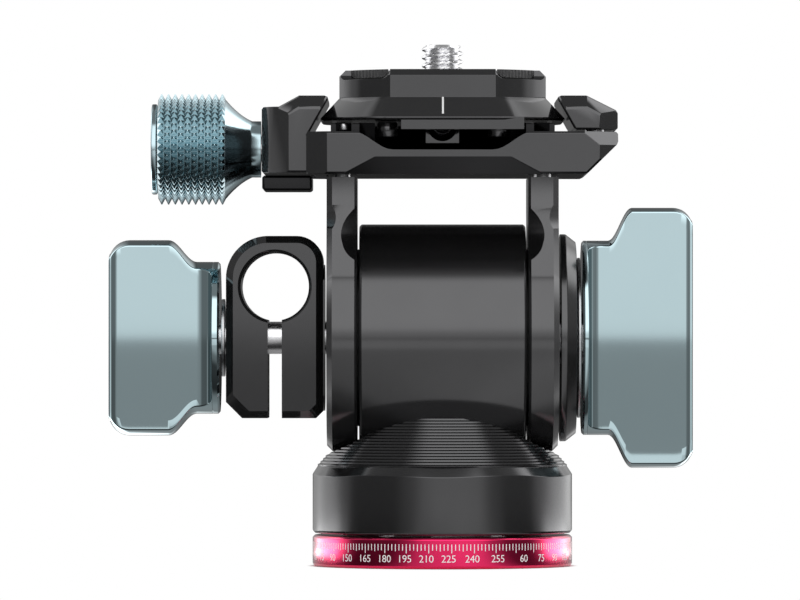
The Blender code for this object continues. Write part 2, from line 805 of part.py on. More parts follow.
def arm(side, sign):
    sections = []
    for level, inset in (
        (ARM_INNER, ARM_INNER_CHAMFER),
        (ARM_INNER + ARM_INNER_CHAMFER, 0.0),
        (ARM_OUTER - ARM_OUTER_CHAMFER, 0.0),
        (ARM_OUTER, ARM_OUTER_CHAMFER),
    ):
        sections.append(laid(arm_outline(inset), sign * level, "X"))
    plate = lofted(f"{side}_arm", sections)
    for scallop in arm_scallops(side, sign):
        cut(plate, scallop)
    heading = TO_X if sign > 0 else TO_MINUS_X
    start = ARM_INNER - OVERRUN
    floor = ARM_INNER + ARM_RECESS
    cut(plate, rod(f"{side}_arm_recess", BARREL_BORE, start, floor, HIDDEN_STEPS, heading, TILT_AXIS, True))
    for i, depth in enumerate((-1, 1)):
        place = (sign * (ARM_INNER + ARM_THICKNESS / 2), depth * ARM_SCREW_SPREAD, 0)
        hole = CAP_SCREW_SHANK + THIN_GAP
        low = CLAMP_BOTTOM - CAP_SCREW_BITE - GAP
        name = f"{side}_arm_screw_hole_{i + 1}"
        cut(plate, rod(name, hole, low, CLAMP_BOTTOM + OVERRUN, SCREW_STEPS, None, place, True))
    return dress(smooth(plate), BLACK, ANODISED)


def left_arm():
    """The left arm seats the axle from inside and the handle bolt from outside."""
    plate = arm("left", -1)
    start = ARM_INNER - OVERRUN
    seat = ARM_INNER + ARM_THICKNESS * AXLE_SEAT_SHARE + GAP
    cut(plate, rod("left_axle_seat", AXLE_HOLE, start, seat, HIDDEN_STEPS, TO_MINUS_X, TILT_AXIS, True))
    end = ARM_OUTER + OVERRUN
    cut(plate, rod("left_bolt_hole", BOLT_HOLE, ARM_INNER, end, SMALL_STEPS, TO_MINUS_X, TILT_AXIS, True))
    return plate


def right_arm():
    plate = arm("right", 1)
    low = ARM_INNER - OVERRUN
    high = ARM_OUTER + OVERRUN
    return cut(plate, rod("right_axle_hole", AXLE_HOLE, low, high, HIDDEN_STEPS, TO_X, TILT_AXIS, True))


def tilt_disc():
    start = ARM_OUTER + GAP
    rim_end = start + DISC_RIM_WIDTH
    end = start + DISC_WIDTH
    inner = DISC_RADIUS - DISC_CHAMFER_IN
    profile = [
        (inner, end),
        (DISC_RADIUS, rim_end),
        (DISC_RADIUS, start),
        (AXLE_HOLE, start),
        (AXLE_HOLE, end),
    ]
    return dress(turned("tilt_disc", profile, KNOB_STEPS, TILT_AXIS, TO_X), BLACK, ANODISED)


def cap_screw(name, place, top, length):
    """A socket-head screw, its head's top at the given height."""
    head = CAP_SCREW_HEAD
    socket = head * HEX_SOCKET_SHARE
    under = top - CAP_SCREW_HEAD_HEIGHT
    profile = [
        (0, top - CAP_SCREW_HEAD_HEIGHT / 2),
        (socket, top - CAP_SCREW_HEAD_HEIGHT / 2),
        (socket, top),
        (head, top),
        (head, under),
        (CAP_SCREW_SHANK, under),
        (CAP_SCREW_SHANK, under - length),
        (0, under - length),
    ]
    return dress(turned(name, profile, SCREW_STEPS, place), STEEL, TURNED_METAL)


def cap_screw_hole(name, place, top, floor, length):
    """The counterbored hole for a cap screw: head room from top down to floor, then the shank."""
    head = CAP_SCREW_HEAD + THIN_GAP
    slim = CAP_SCREW_SHANK + THIN_GAP
    profile = [
        (0, top),
        (head, top),
        (head, floor),
        (slim, floor),
        (slim, floor - length),
        (0, floor - length),
    ]
    return turned(name, profile, SCREW_STEPS, place, cutter=True)


def arm_screw_places():
    middle = ARM_INNER + ARM_THICKNESS / 2
    return [
        (sign * middle, depth * ARM_SCREW_SPREAD, 0) for sign in (-1, 1) for depth in (-1, 1)
    ]


def arm_screws():
    """Four screws go down through the clamp base into the arms."""
    top = CLAMP_TOP - GAP
    length = CLAMP_HEIGHT - CAP_SCREW_HEAD_HEIGHT - GAP + CAP_SCREW_BITE
    return [
        cap_screw(f"arm_screw_{i + 1}", place, top, length)
        for i, place in enumerate(arm_screw_places())
    ]


def clamp_scoop():
    """The dip across the top of the clamp base, with round shoulders (X, Z)."""
    rise = SCOOP_DEPTH
    run = SCOOP_HALF_MOUTH - SCOOP_HALF_FLOOR
    right = []
    for i in range(2 * ARC_STEPS + 1):
        share = i / (2 * ARC_STEPS)
        lift = rise * (1 - math.cos(share * math.pi)) / 2
        right.append((SCOOP_HALF_FLOOR + run * share, POCKET_FLOOR + lift))
    left = [(-x, z) for x, z in reversed(right)]
    roof = CLAMP_TOP + OVERRUN
    outline = left + right + [(SCOOP_HALF_MOUTH, roof), (-SCOOP_HALF_MOUTH, roof)]
    reach = CLAMP_HALF_DEPTH + OVERRUN
    return prism("clamp_scoop", outline, -reach, reach, "Y", True)


def clamp_undercut(end, sign):
    """The sloped relief under the front and back edges, narrower at its top."""
    outside = sign * (CLAMP_HALF_DEPTH + OVERRUN)
    top = CLAMP_BOTTOM + UNDERCUT_RISE
    foot = CLAMP_BOTTOM - OVERRUN
    stretch = (UNDERCUT_RISE + OVERRUN) / UNDERCUT_RISE
    deep = sign * (CLAMP_HALF_DEPTH - UNDERCUT_DEPTH * stretch)
    wide = UNDERCUT_HALF_TOP + (UNDERCUT_HALF_FOOT - UNDERCUT_HALF_TOP) * stretch
    face = sign * CLAMP_HALF_DEPTH
    slim = UNDERCUT_HALF_TOP
    upper = [(-slim, face, top), (slim, face, top), (slim, outside, top), (-slim, outside, top)]
    lower = [(-wide, deep, foot), (wide, deep, foot), (wide, outside, foot), (-wide, outside, foot)]
    return lofted(f"clamp_undercut_{end}", [lower, upper], True)


def corner_outline(side, sign, start, end, depth):
    """What comes off a block's corner: a slope from its front or back face out past its end (X, Y)."""
    reach = end + OVERRUN
    deep = depth - BEVEL_SLOPE_SHARE * (reach - start)
    outside = depth + OVERRUN
    corners = ((start, depth), (reach, deep), (reach, outside), (start, outside))
    return [(side * x, sign * y) for x, y in corners]


def corner_bevel(name, side, sign, end, depth, width):
    """The upright wedge off a block's corner, where an end face meets a front or back face."""
    outline = corner_outline(side, sign, end - width, end, depth)
    return prism(name, outline, CLAMP_BOTTOM - OVERRUN, JAW_TOP + OVERRUN, "Z", True)


def corner_facet(end, sign):
    """The bright sloped facet over the clamp base's right bevel."""
    levels = []
    start = CLAMP_RIGHT - CLAMP_RIGHT_BEVEL
    for lean, height in (
        (0.0, CLAMP_TOP - CORNER_FACET_DROP),
        (CORNER_FACET_RUN, CLAMP_TOP),
        (CORNER_FACET_RUN, CLAMP_TOP + OVERRUN),
    ):
        outline = corner_outline(1, sign, start - lean, CLAMP_RIGHT, CLAMP_HALF_DEPTH)
        levels.append(laid(outline, height, "Z"))
    return lofted(f"corner_facet_{end}", levels, True)


def clamp_rails(base):
    """Four low rails that the plate's underside sits on, and a bar across behind the camera screw."""
    low = POCKET_FLOOR - EDGE
    high = PLATE_FOOT - GAP
    reach = RAIL_HALF_LENGTH
    outline = [(-reach, high), (RAIL_LEAN - reach, low), (reach - RAIL_LEAN, low), (reach, high)]
    for name, middle in (("inner", INNER_RAIL), ("outer", OUTER_RAIL)):
        for side, sign in (("left", -1), ("right", 1)):
            first = sign * middle - RAIL_WIDTH / 2
            second = sign * middle + RAIL_WIDTH / 2
            add(base, prism(f"{name}_rail_{side}", outline, first, second, "X", True))
    bar = [
        (CROSSBAR_FRONT, high),
        (CROSSBAR_FRONT + RAIL_LEAN, low),
        (CROSSBAR_BACK, low),
        (CROSSBAR_BACK, high),
    ]
    return add(base, prism("crossbar", bar, -INNER_RAIL, INNER_RAIL, "X", True))


def clamp_base():
    corner = CLAMP_BOTTOM + CLAMP_CORNER_RISE
    outline = [
        (-CLAMP_LEFT, CLAMP_BOTTOM),
        (CLAMP_RIGHT - CLAMP_CORNER_IN, CLAMP_BOTTOM),
        (CLAMP_RIGHT, corner),
        (CLAMP_RIGHT, CLAMP_TOP),
        (-CLAMP_LEFT, CLAMP_TOP),
    ]
    base = prism("clamp_base", outline, -CLAMP_HALF_DEPTH, CLAMP_HALF_DEPTH)
    chamfer(base, CLAMP_EDGE)
    cut(base, clamp_scoop())
    pocket_low = (-POCKET_HALF_WIDTH, -POCKET_HALF_DEPTH, POCKET_FLOOR)
    pocket_high = (POCKET_HALF_WIDTH, POCKET_HALF_DEPTH, CLAMP_TOP + OVERRUN)
    cut(base, block("clamp_pocket", pocket_low, pocket_high, cutter=True))
    clamp_rails(base)
    bevels = ((-1, CLAMP_LEFT, CLAMP_LEFT_BEVEL), (1, CLAMP_RIGHT, CLAMP_RIGHT_BEVEL))
    for end, sign in (("front", -1), ("back", 1)):
        cut(base, clamp_undercut(end, sign))
        cut(base, corner_facet(end, sign))
        for side, face, width in bevels:
            name = f"clamp_bevel_{end}_{side}"
            cut(base, corner_bevel(name, side, sign, face, CLAMP_HALF_DEPTH, width))
    cheek = CLAMP_HALF_DEPTH - CHEEK
    fork_low = (-CLAMP_LEFT - OVERRUN, -cheek, CLAMP_BOTTOM - OVERRUN)
    fork_high = (FORK_DEPTH - CLAMP_LEFT, cheek, PLATE_FOOT)
    cut(base, block("jaw_fork", fork_low, fork_high, cutter=True))
    for tool in clamp_base_holes():
        cut(base, tool)
    return dress(smooth(base), BLACK, ANODISED)


def clamp_base_holes():
    """Holes for the arm screws, jaw screws, guide pins and clamp screw."""
    made = []
    floor = CLAMP_TOP - GAP - CAP_SCREW_HEAD_HEIGHT
    for i, place in enumerate(arm_screw_places()):
        name = f"clamp_arm_screw_hole_{i + 1}"
        made.append(cap_screw_hole(name, place, PLATE_TOP, floor - THIN_GAP, CLAMP_HEIGHT))
    for i, place in enumerate(jaw_screw_places()):
        low = CLAMP_TOP - JAW_SCREW_BITE - GAP
        hole = CAP_SCREW_SHANK + THIN_GAP
        name = f"clamp_jaw_screw_hole_{i + 1}"
        made.append(rod(name, hole, low, JAW_TOP, SCREW_STEPS, None, place, True))
    for i, depth in enumerate((-1, 1)):
        place = (0, depth * GUIDE_PIN_SPREAD, CLAMP_BOTTOM + GUIDE_PIN_RISE)
        hole = GUIDE_PIN_RADIUS + GAP
        start = CLAMP_LEFT - FORK_DEPTH - GUIDE_PIN_BITE - GAP
        name = f"guide_pin_bore_{i + 1}"
        made.append(rod(name, hole, start, CLAMP_LEFT, SCREW_STEPS, TO_MINUS_X, place, True))
    place = (0, 0, SCREW_AXIS_HEIGHT)
    end = CLAMP_LEFT - FORK_DEPTH - GUIDE_PIN_BITE - GAP
    hole = CLAMP_SCREW_RADIUS + GAP
    made.append(rod("clamp_screw_bore", hole, end, CLAMP_LEFT, SMALL_STEPS, TO_MINUS_X, place, True))
    return made


def grip_x(height):
    """X of a jaw's gripping face; it meets the plate along the plate's lower edge."""
    return PLATE_HALF_FOOT + GAP + JAW_GRIP_SHARE * (PLATE_EDGE - height)


def jaw_screw_places():
    middle = (grip_x(CLAMP_TOP) + CLAMP_RIGHT) / 2
    return [(middle, depth * JAW_SCREW_SPREAD, 0) for depth in (-1, 1)]


def beveled_jaw(name, outline, depth):
    """A jaw with beveled top edges, from a function that gives its outline for a lowered top."""
    ends = ((-depth, JAW_BEVEL_DROP), (JAW_BEVEL_DEPTH - depth, 0.0))
    levels = ends + tuple((-level, drop) for level, drop in reversed(ends))
    return lofted(name, [laid(outline(drop), level, "Y") for level, drop in levels])


def fixed_jaw_outline(drop):
    """The hook that holds the plate's right side (X, Z)."""
    foot = CLAMP_TOP + GAP
    top = JAW_TOP - drop
    lip = top - FIXED_JAW_CHAMFER
    tip = grip_x(lip)
    return [
        (grip_x(foot), foot),
        (CLAMP_RIGHT, foot),
        (CLAMP_RIGHT, top - JAW_SHOULDER_DROP),
        (grip_x(JAW_TOP) + JAW_FLAT, top),
        (tip + FIXED_JAW_CHAMFER, top),
        (tip, lip),
    ]


def fixed_jaw():
    jaw = beveled_jaw("fixed_jaw", fixed_jaw_outline, JAW_HALF_DEPTH)
    chamfer(jaw, CLAMP_EDGE)
    for end, sign in (("front", -1), ("back", 1)):
        name = f"fixed_jaw_bevel_{end}"
        cut(jaw, corner_bevel(name, 1, sign, CLAMP_RIGHT, JAW_HALF_DEPTH, FIXED_JAW_BEVEL))
    for i, place in enumerate(jaw_screw_places()):
        floor = JAW_TOP - JAW_SHOULDER_DROP - CAP_SCREW_HEAD_HEIGHT
        name = f"fixed_jaw_screw_hole_{i + 1}"
        cut(jaw, cap_screw_hole(name, place, JAW_TOP + OVERRUN, floor, JAW_RISE))
    return dress(jaw, BLACK, ANODISED)


def jaw_screws():
    head_floor = JAW_TOP - JAW_SHOULDER_DROP - CAP_SCREW_HEAD_HEIGHT + THIN_GAP
    top = head_floor + CAP_SCREW_HEAD_HEIGHT
    length = head_floor - CLAMP_TOP + JAW_SCREW_BITE
    return [
        cap_screw(f"jaw_screw_{i + 1}", place, top, length)
        for i, place in enumerate(jaw_screw_places())
    ]


def safety_pin():
    """The small pin under the plate's left front corner."""
    place = (-OUTER_RAIL, -(RAIL_HALF_LENGTH + CHEEK / 2), 0)
    foot = CLAMP_TOP + GAP
    pin = rod("safety_pin", PIN_RADIUS, foot, foot + PIN_HEIGHT - 2 * GAP, SCREW_STEPS, None, place)
    return dress(pin, STEEL, TURNED_METAL)


# Sliding jaw with its guide, pins and knurled knob


def sliding_jaw_outline(drop):
    """Hook above, tongue in the clamp base's fork below (X, Z)."""
    foot = CLAMP_BOTTOM + GAP
    ledge = CLAMP_TOP - GAP
    top = JAW_TOP - drop
    lip = top - FIXED_JAW_CHAMFER
    tip = -grip_x(lip)
    flat_end = -grip_x(JAW_TOP) - JAW_FLAT
    shoulder = top - SLIDING_JAW_SHOULDER
    tongue = FORK_DEPTH - CLAMP_LEFT - GAP
    return [
        (-SLIDING_JAW_LEFT, foot),
        (tongue, foot),
        (tongue, ledge),
        (-grip_x(ledge), ledge),
        (tip, lip),
        (tip - FIXED_JAW_CHAMFER, top),
        (flat_end, top),
        (flat_end - SLIDING_JAW_SLOPE, shoulder),
        (-SLIDING_JAW_LEFT, shoulder),
    ]


def sliding_jaw():
    depth = CLAMP_HALF_DEPTH - CHEEK - GAP
    jaw = beveled_jaw("sliding_jaw", sliding_jaw_outline, depth)
    chamfer(jaw, CLAMP_EDGE)
    for end, sign in (("front", -1), ("back", 1)):
        cut(jaw, jaw_corner(end, sign, depth))
    end = SLIDING_JAW_LEFT + OVERRUN
    start = CLAMP_LEFT - FORK_DEPTH - OVERRUN
    place = (0, 0, SCREW_AXIS_HEIGHT)
    hole = CLAMP_SCREW_RADIUS + GAP
    cut(jaw, rod("jaw_screw_bore", hole, start, end, SMALL_STEPS, TO_MINUS_X, place, True))
    for i, side in enumerate((-1, 1)):
        place = (0, side * GUIDE_PIN_SPREAD, CLAMP_BOTTOM + GUIDE_PIN_RISE)
        hole = GUIDE_PIN_RADIUS + THIN_GAP
        name = f"jaw_pin_hole_{i + 1}"
        stop = SLIDING_JAW_LEFT - SLIDING_JAW_CORNER + GAP
        cut(jaw, rod(name, hole, start, stop, SCREW_STEPS, TO_MINUS_X, place, True))
    return dress(smooth(jaw), BLACK, ANODISED)


def jaw_corner(end, sign, depth):
    """The upright chamfer on a left corner of the sliding jaw, steeper beside the end face (X, Y)."""
    left = -SLIDING_JAW_LEFT
    start = left + SLIDING_JAW_END
    size = SLIDING_JAW_CORNER
    steep = SLIDING_JAW_END_DEPTH / SLIDING_JAW_END
    near = depth - size - steep * (SLIDING_JAW_END + OVERRUN)
    outline = [
        (left - OVERRUN, sign * near),
        (start, sign * (depth - size)),
        (start + size + OVERRUN, sign * (depth + OVERRUN)),
        (left - OVERRUN, sign * (depth + OVERRUN)),
    ]
    low = CLAMP_BOTTOM - OVERRUN
    return prism(f"jaw_corner_{end}", outline, low, JAW_TOP + OVERRUN, "Z", True)


def jaw_guide():
    low = (-SLIDING_JAW_LEFT, -GUIDE_HALF_DEPTH, CLAMP_BOTTOM - GUIDE_HEIGHT)
    high = (GUIDE_LENGTH - SLIDING_JAW_LEFT, GUIDE_HALF_DEPTH, CLAMP_BOTTOM)
    return dress(chamfer(block("jaw_guide", low, high), EDGE), BLACK, ANODISED)


def guide_pins():
    made = []
    start = CLAMP_LEFT - FORK_DEPTH - GUIDE_PIN_BITE
    end = SLIDING_JAW_LEFT - SLIDING_JAW_CORNER
    for i, side in enumerate((-1, 1)):
        place = (0, side * GUIDE_PIN_SPREAD, CLAMP_BOTTOM + GUIDE_PIN_RISE)
        pin = rod(f"guide_pin_{i + 1}", GUIDE_PIN_RADIUS, start, end, SCREW_STEPS, TO_MINUS_X, place)
        made.append(dress(pin, STEEL, TURNED_METAL))
    return made


def clamp_screw():
    start = CLAMP_LEFT - FORK_DEPTH - GUIDE_PIN_BITE
    end = knob_neck_face() + KNURL_NECK_LENGTH + KNURL_CONE_LENGTH
    place = (0, 0, SCREW_AXIS_HEIGHT)
    screw = rod("clamp_screw", CLAMP_SCREW_RADIUS, start, end, SMALL_STEPS, TO_MINUS_X, place)
    return dress(screw, STEEL, TURNED_METAL)


def knob_neck_face():
    """Distance left of the pan axis at which the knurled knob's neck starts."""
    return SLIDING_JAW_LEFT + GAP


def knurl_ring(shape, radius, distance, offset=0.0):
    ring = []
    for i in range(KNURL_COUNT):
        angle = math.tau * (i + offset) / KNURL_COUNT
        ring.append(shape.verts.new((radius * math.cos(angle), radius * math.sin(angle), distance)))
    return ring


def bridge(shape, lower, upper):
    for i in range(len(lower)):
        j = (i + 1) % len(lower)
        shape.faces.new((lower[i], lower[j], upper[j], upper[i]))


def jaw_knob():
    """Rows of square pyramids round a drum, and a hollow cone down to a slim neck."""
    start = knob_neck_face()
    neck_end = start + KNURL_NECK_LENGTH
    cone_end = neck_end + KNURL_CONE_LENGTH
    drum_end = cone_end + KNURL_ROWS * KNURL_PITCH
    shape = bmesh.new()
    middle_share = KNURL_CONE_MIDDLE_SHARE
    cone_rise = KNURL_VALLEY - KNURL_NECK
    rings = [
        knurl_ring(shape, KNURL_NECK, start),
        knurl_ring(shape, KNURL_NECK, neck_end),
        knurl_ring(
            shape,
            KNURL_NECK + cone_rise * middle_share * (1 - KNURL_CONE_SAG_SHARE * middle_share),
            neck_end + KNURL_CONE_LENGTH * middle_share,
        ),
    ]
    for row in range(KNURL_ROWS + 1):
        rings.append(knurl_ring(shape, KNURL_VALLEY, cone_end + row * KNURL_PITCH))
    shape.faces.new(rings[0])
    bridge(shape, rings[0], rings[1])
    bridge(shape, rings[1], rings[2])
    bridge(shape, rings[2], rings[3])
    for row in range(KNURL_ROWS):
        peaks = knurl_ring(shape, KNURL_CREST, cone_end + (row + 0.5) * KNURL_PITCH, 0.5)
        lower = rings[3 + row]
        upper = rings[4 + row]
        for i, peak in enumerate(peaks):
            j = (i + 1) % KNURL_COUNT
            square = (lower[i], lower[j], upper[j], upper[i])
            for first, second in zip(square, square[1:] + square[:1]):
                shape.faces.new((first, second, peak))
    shape.faces.new(list(reversed(rings[-1])))
    bmesh.ops.recalc_face_normals(shape, faces=shape.faces)
    mesh = bpy.data.meshes.new("jaw_knob")
    shape.to_mesh(mesh)
    shape.free()
    knob = link(bpy.data.objects.new("jaw_knob", mesh), False)
    knob.location = (0, 0, SCREW_AXIS_HEIGHT)
    knob.rotation_euler = TO_MINUS_X.to_euler()
    bore_place = (0, 0, SCREW_AXIS_HEIGHT)
    hole = CLAMP_SCREW_RADIUS + GAP
    end = cone_end + GAP
    cut(knob, rod("jaw_knob_bore", hole, start - OVERRUN, end, SMALL_STEPS, TO_MINUS_X, bore_place, True))
    return dress(knob, BLUE_GREY, ANODISED), drum_end


def jaw_knob_cap(drum_end):
    start = drum_end + GAP / 2
    end = start + KNURL_CAP_THICKNESS
    edge = KNURL_CAP_RADIUS - EDGE
    profile = [(0, end), (edge, end), (KNURL_CAP_RADIUS, end - EDGE), (KNURL_CAP_RADIUS, start), (0, start)]
    place = (0, 0, SCREW_AXIS_HEIGHT)
    return dress(turned("jaw_knob_cap", profile, ROUND_STEPS, place, TO_MINUS_X), BLUE_GREY, ANODISED)


# Quick-release plate, pads, stops and camera screw


PAD_CORNERS = {
    "front_left": (-1, -1),
    "front_right": (1, -1),
    "back_left": (-1, 1),
    "back_right": (1, 1),
}


def rounded_square(half, corner, height, steps=ARC_STEPS):
    inner = half - corner
    points = []
    for i, (x, y) in enumerate(((1, 1), (-1, 1), (-1, -1), (1, -1))):
        points += arc((x * inner, y * inner), corner, i * math.pi / 2, (i + 1) * math.pi / 2, steps)
    return [(x, y, height) for x, y in points]


def ringed_square(half, flat, height, steps=ARC_STEPS):
    """A square whose corners lie on a circle round its middle, so the flats end in a crease."""
    radius = math.hypot(half, flat)
    start = math.atan2(flat, half)
    points = []
    for i in range(4):
        quarter = i * math.pi / 2
        points += arc((0, 0), radius, quarter + start, quarter + math.pi / 2 - start, steps)
    return [(x, y, height) for x, y in points]


def quick_plate():
    bevel = PLATE_BEVEL
    flat = PLATE_HALF_TOP - PLATE_CORNER
    levels = (
        (PLATE_HALF_FOOT - PLATE_FOOT_EDGE, PLATE_FOOT_CORNER, PLATE_FOOT),
        (PLATE_HALF_FOOT, PLATE_FOOT_CORNER, PLATE_FOOT + PLATE_FOOT_EDGE),
        (PLATE_HALF_FOOT, PLATE_FOOT_CORNER, PLATE_EDGE),
    )
    sections = [rounded_square(*level) for level in levels]
    sections.append(ringed_square(PLATE_HALF_TOP, flat, PLATE_SHOULDER))
    sections.append(ringed_square(PLATE_HALF_TOP, flat, PLATE_TOP - bevel))
    sections.append(ringed_square(PLATE_HALF_TOP - bevel, flat, PLATE_TOP))
    plate = lofted("quick_plate", sections)
    for corner, (x, y) in PAD_CORNERS.items():
        cut(plate, pad_room(f"pad_recess_{corner}", x, y, 0.0))
    key_front = EDGE - PLATE_HALF_FOOT
    key_low = (-KEY_LEFT, key_front, PLATE_FOOT - KEY_DEPTH)
    key_high = (KEY_RIGHT, key_front + KEY_WIDTH, PLATE_FOOT + PLATE_LAND)
    add(plate, block("plate_key", key_low, key_high, cutter=True))
    flange_roof = PLATE_FOOT + GAP + CAMERA_SCREW_FLANGE_THICKNESS + GAP
    wide = CAMERA_SCREW_FLANGE + GAP
    slim = CAMERA_SCREW_RADIUS + GAP
    profile = [
        (0, PLATE_TOP + OVERRUN),
        (slim, PLATE_TOP + OVERRUN),
        (slim, flange_roof),
        (wide, flange_roof),
        (wide, PLATE_FOOT - OVERRUN),
        (0, PLATE_FOOT - OVERRUN),
    ]
    cut(plate, turned("camera_screw_hole", profile, ROUND_STEPS, cutter=True))
    return dress(smooth(plate), BLACK, ANODISED)


def pad_room(name, x, y, shrink):
    """The block with rounded edges that empties a corner of the plate, or fills it when shrunk."""
    near = PAD_INNER_EDGE + shrink
    far = PLATE_HALF_TOP + PAD_FILLET + OVERRUN
    xs = sorted((x * near, x * far))
    ys = sorted((y * near, y * far))
    roof = PLATE_TOP + PAD_FILLET + OVERRUN
    room = block(name, (xs[0], ys[0], PAD_FLOOR + shrink), (xs[1], ys[1], roof), cutter=True)
    return chamfer(room, PAD_FILLET - shrink, EDGE_ANGLE, PAD_FILLET_STEPS)


def rubber_pad(corner, x, y):
    """A corner pad, its outer edge on a circle round the camera screw."""
    name = f"rubber_pad_{corner}"
    low = PAD_FLOOR + THIN_GAP / 2
    pad = rod(name, PAD_OUTER_RADIUS, low, PLATE_TOP, FINE_STEPS)
    cut(pad, pad_room(f"{name}_room", x, y, THIN_GAP), "INTERSECT")
    return dress(smooth(pad), RUBBER, SOFT)


def plate_stops():
    made = []
    places = [(x * STOP_SPREAD, y * STOP_REACH, 0) for x in (-1, 1) for y in (-1, 1)]
    for i, place in enumerate(places):
        high = PLATE_FOOT - THIN_GAP
        stop = rod(f"plate_stop_{i + 1}", STOP_RADIUS, high - STOP_LENGTH, high, SCREW_STEPS, None, place)
        made.append(dress(stop, BLACK, ANODISED))
    return made


def camera_screw():
    top = PLATE_TOP + CAMERA_SCREW_HEIGHT
    flange_low = PLATE_FOOT + GAP
    flange_high = flange_low + CAMERA_SCREW_FLANGE_THICKNESS
    radius = CAMERA_SCREW_RADIUS
    dome = CAMERA_SCREW_HEAD
    profile = [
        (0, top),
        (radius - CAMERA_SCREW_LEAD, top),
        (radius, top - CAMERA_SCREW_LEAD),
        (radius, flange_high),
        (CAMERA_SCREW_FLANGE, flange_high),
        (CAMERA_SCREW_FLANGE, flange_low),
        (dome, flange_low),
    ]
    foot = PLATE_FOOT - CAMERA_SCREW_DROP
    for i in range(ARC_STEPS + 1):
        angle = math.pi / 2 * i / ARC_STEPS
        profile.append((dome * math.cos(angle), foot + dome * (1 - math.sin(angle))))
    profile[-1] = (0, foot)
    return dress(turned("camera_screw", profile, SMALL_STEPS), STEEL, POLISHED)


def screw_cradle():
    """The small yoke round the camera screw's head, open to front and back."""
    half = CRADLE_HALF_WIDTH
    foot = PLATE_FOOT - CRADLE_DROP
    roof = PLATE_FOOT - THIN_GAP
    cradle = block("screw_cradle", (-half, -half, foot), (half, half, roof))
    radius = half - CRADLE_WALL
    middle = foot + CRADLE_WALL + radius
    hollow = [(-radius, roof + OVERRUN), (-radius, middle)]
    hollow += arc((0, middle), radius, math.pi, math.tau, 2 * ARC_STEPS)[1:]
    hollow += [(radius, roof + OVERRUN)]
    reach = half + OVERRUN
    cut(cradle, prism("cradle_hollow", hollow, -reach, reach, "Y", True))
    return dress(cradle, BLACK, ANODISED)


# Handle clamp and its wing knob


def handle_outline(inset):
    """Front outline (X, Z) of the handle clamp's block."""
    right = -(ARM_OUTER + HANDLE_RIGHT_GAP) - inset
    left = right - HANDLE_WIDTH + 2 * inset
    low = TILT_AXIS_HEIGHT - HANDLE_BELOW_AXIS + inset
    high = TILT_AXIS_HEIGHT + HANDLE_ABOVE_AXIS - inset
    left_round = HANDLE_LEFT_ROUND - inset
    right_round = HANDLE_RIGHT_ROUND - inset
    outline = [
        (right - HANDLE_RIGHT_CUT, low),
        (right, low + HANDLE_RIGHT_CUT),
    ]
    outline += arc((right - right_round, high - right_round), right_round, 0, math.pi / 2)
    outline += arc((left + left_round, high - left_round), left_round, math.pi / 2, math.pi)
    outline += [(left, low + HANDLE_LEFT_CUT), (left + HANDLE_LEFT_CUT, low)]
    return outline


def handle_clamp():
    sections = []
    for level, inset in (
        (-HANDLE_HALF_DEPTH, HANDLE_CHAMFER),
        (HANDLE_CHAMFER - HANDLE_HALF_DEPTH, 0.0),
        (HANDLE_HALF_DEPTH - HANDLE_CHAMFER, 0.0),
        (HANDLE_HALF_DEPTH, HANDLE_CHAMFER),
    ):
        sections.append(laid(handle_outline(inset), level, "Y"))
    clamp = lofted("handle_clamp", sections)
    right = ARM_OUTER + HANDLE_RIGHT_GAP
    boss_start = right - HANDLE_BOSS_THICKNESS
    boss = rod(
        "handle_boss", HANDLE_BOSS_RADIUS, boss_start, right + EDGE, ROUND_STEPS, TO_MINUS_X, TILT_AXIS, True
    )
    keep = HANDLE_HALF_DEPTH - HANDLE_CHAMFER
    trim_low = (-right - OVERRUN, -keep, TILT_AXIS_HEIGHT - HANDLE_BOSS_RADIUS)
    trim_high = (OVERRUN - right, keep, TILT_AXIS_HEIGHT + HANDLE_BOSS_RADIUS)
    cut(boss, block("handle_boss_trim", trim_low, trim_high, cutter=True), "INTERSECT")
    add(clamp, boss)
    cut(clamp, handle_bore())
    cut(clamp, handle_slot())
    low = ARM_OUTER - OVERRUN
    high = right + HANDLE_WIDTH + OVERRUN
    cut(clamp, rod("handle_bolt_hole", BOLT_HOLE, low, high, SMALL_STEPS, TO_MINUS_X, TILT_AXIS, True))
    return dress(smooth(clamp), BLACK, ANODISED)


def handle_bore_middle():
    x = -(ARM_OUTER + HANDLE_RIGHT_GAP + HANDLE_BORE_FROM_RIGHT)
    return (x, 0, TILT_AXIS_HEIGHT + HANDLE_BORE_RISE)


def handle_bore():
    """The hole for the pan handle, with a chamfer at each mouth."""
    depth = HANDLE_HALF_DEPTH
    small = HANDLE_BORE
    wide = HANDLE_BORE + HANDLE_BORE_CHAMFER
    outer = wide + OVERRUN
    profile = [
        (0, depth + OVERRUN),
        (outer, depth + OVERRUN),
        (small, depth - HANDLE_BORE_CHAMFER),
        (small, HANDLE_BORE_CHAMFER - depth),
        (outer, -depth - OVERRUN),
        (0, -depth - OVERRUN),
    ]
    heading = Matrix.Rotation(math.pi / 2, 4, "X")
    return turned("handle_bore", profile, ROUND_STEPS, handle_bore_middle(), heading, True)


def handle_slot():
    x, _, z = handle_bore_middle()
    half = HANDLE_SLOT / 2
    depth = HANDLE_HALF_DEPTH + OVERRUN
    low = (x - half, -depth, TILT_AXIS_HEIGHT - HANDLE_BELOW_AXIS - OVERRUN)
    return block("handle_slot", low, (x + half, depth, z), cutter=True)


def handle_left_face():
    """Distance left of the pan axis of the handle clamp's outer face."""
    return ARM_OUTER + HANDLE_RIGHT_GAP + HANDLE_WIDTH


def handle_washer():
    start = handle_left_face() + THIN_GAP
    end = start + HANDLE_WASHER_THICKNESS
    washer = tube(
        "handle_washer", HANDLE_WASHER_RADIUS, BOLT_HOLE, start, end, SMALL_STEPS, TO_MINUS_X, TILT_AXIS
    )
    return dress(washer, STEEL, TURNED_METAL)


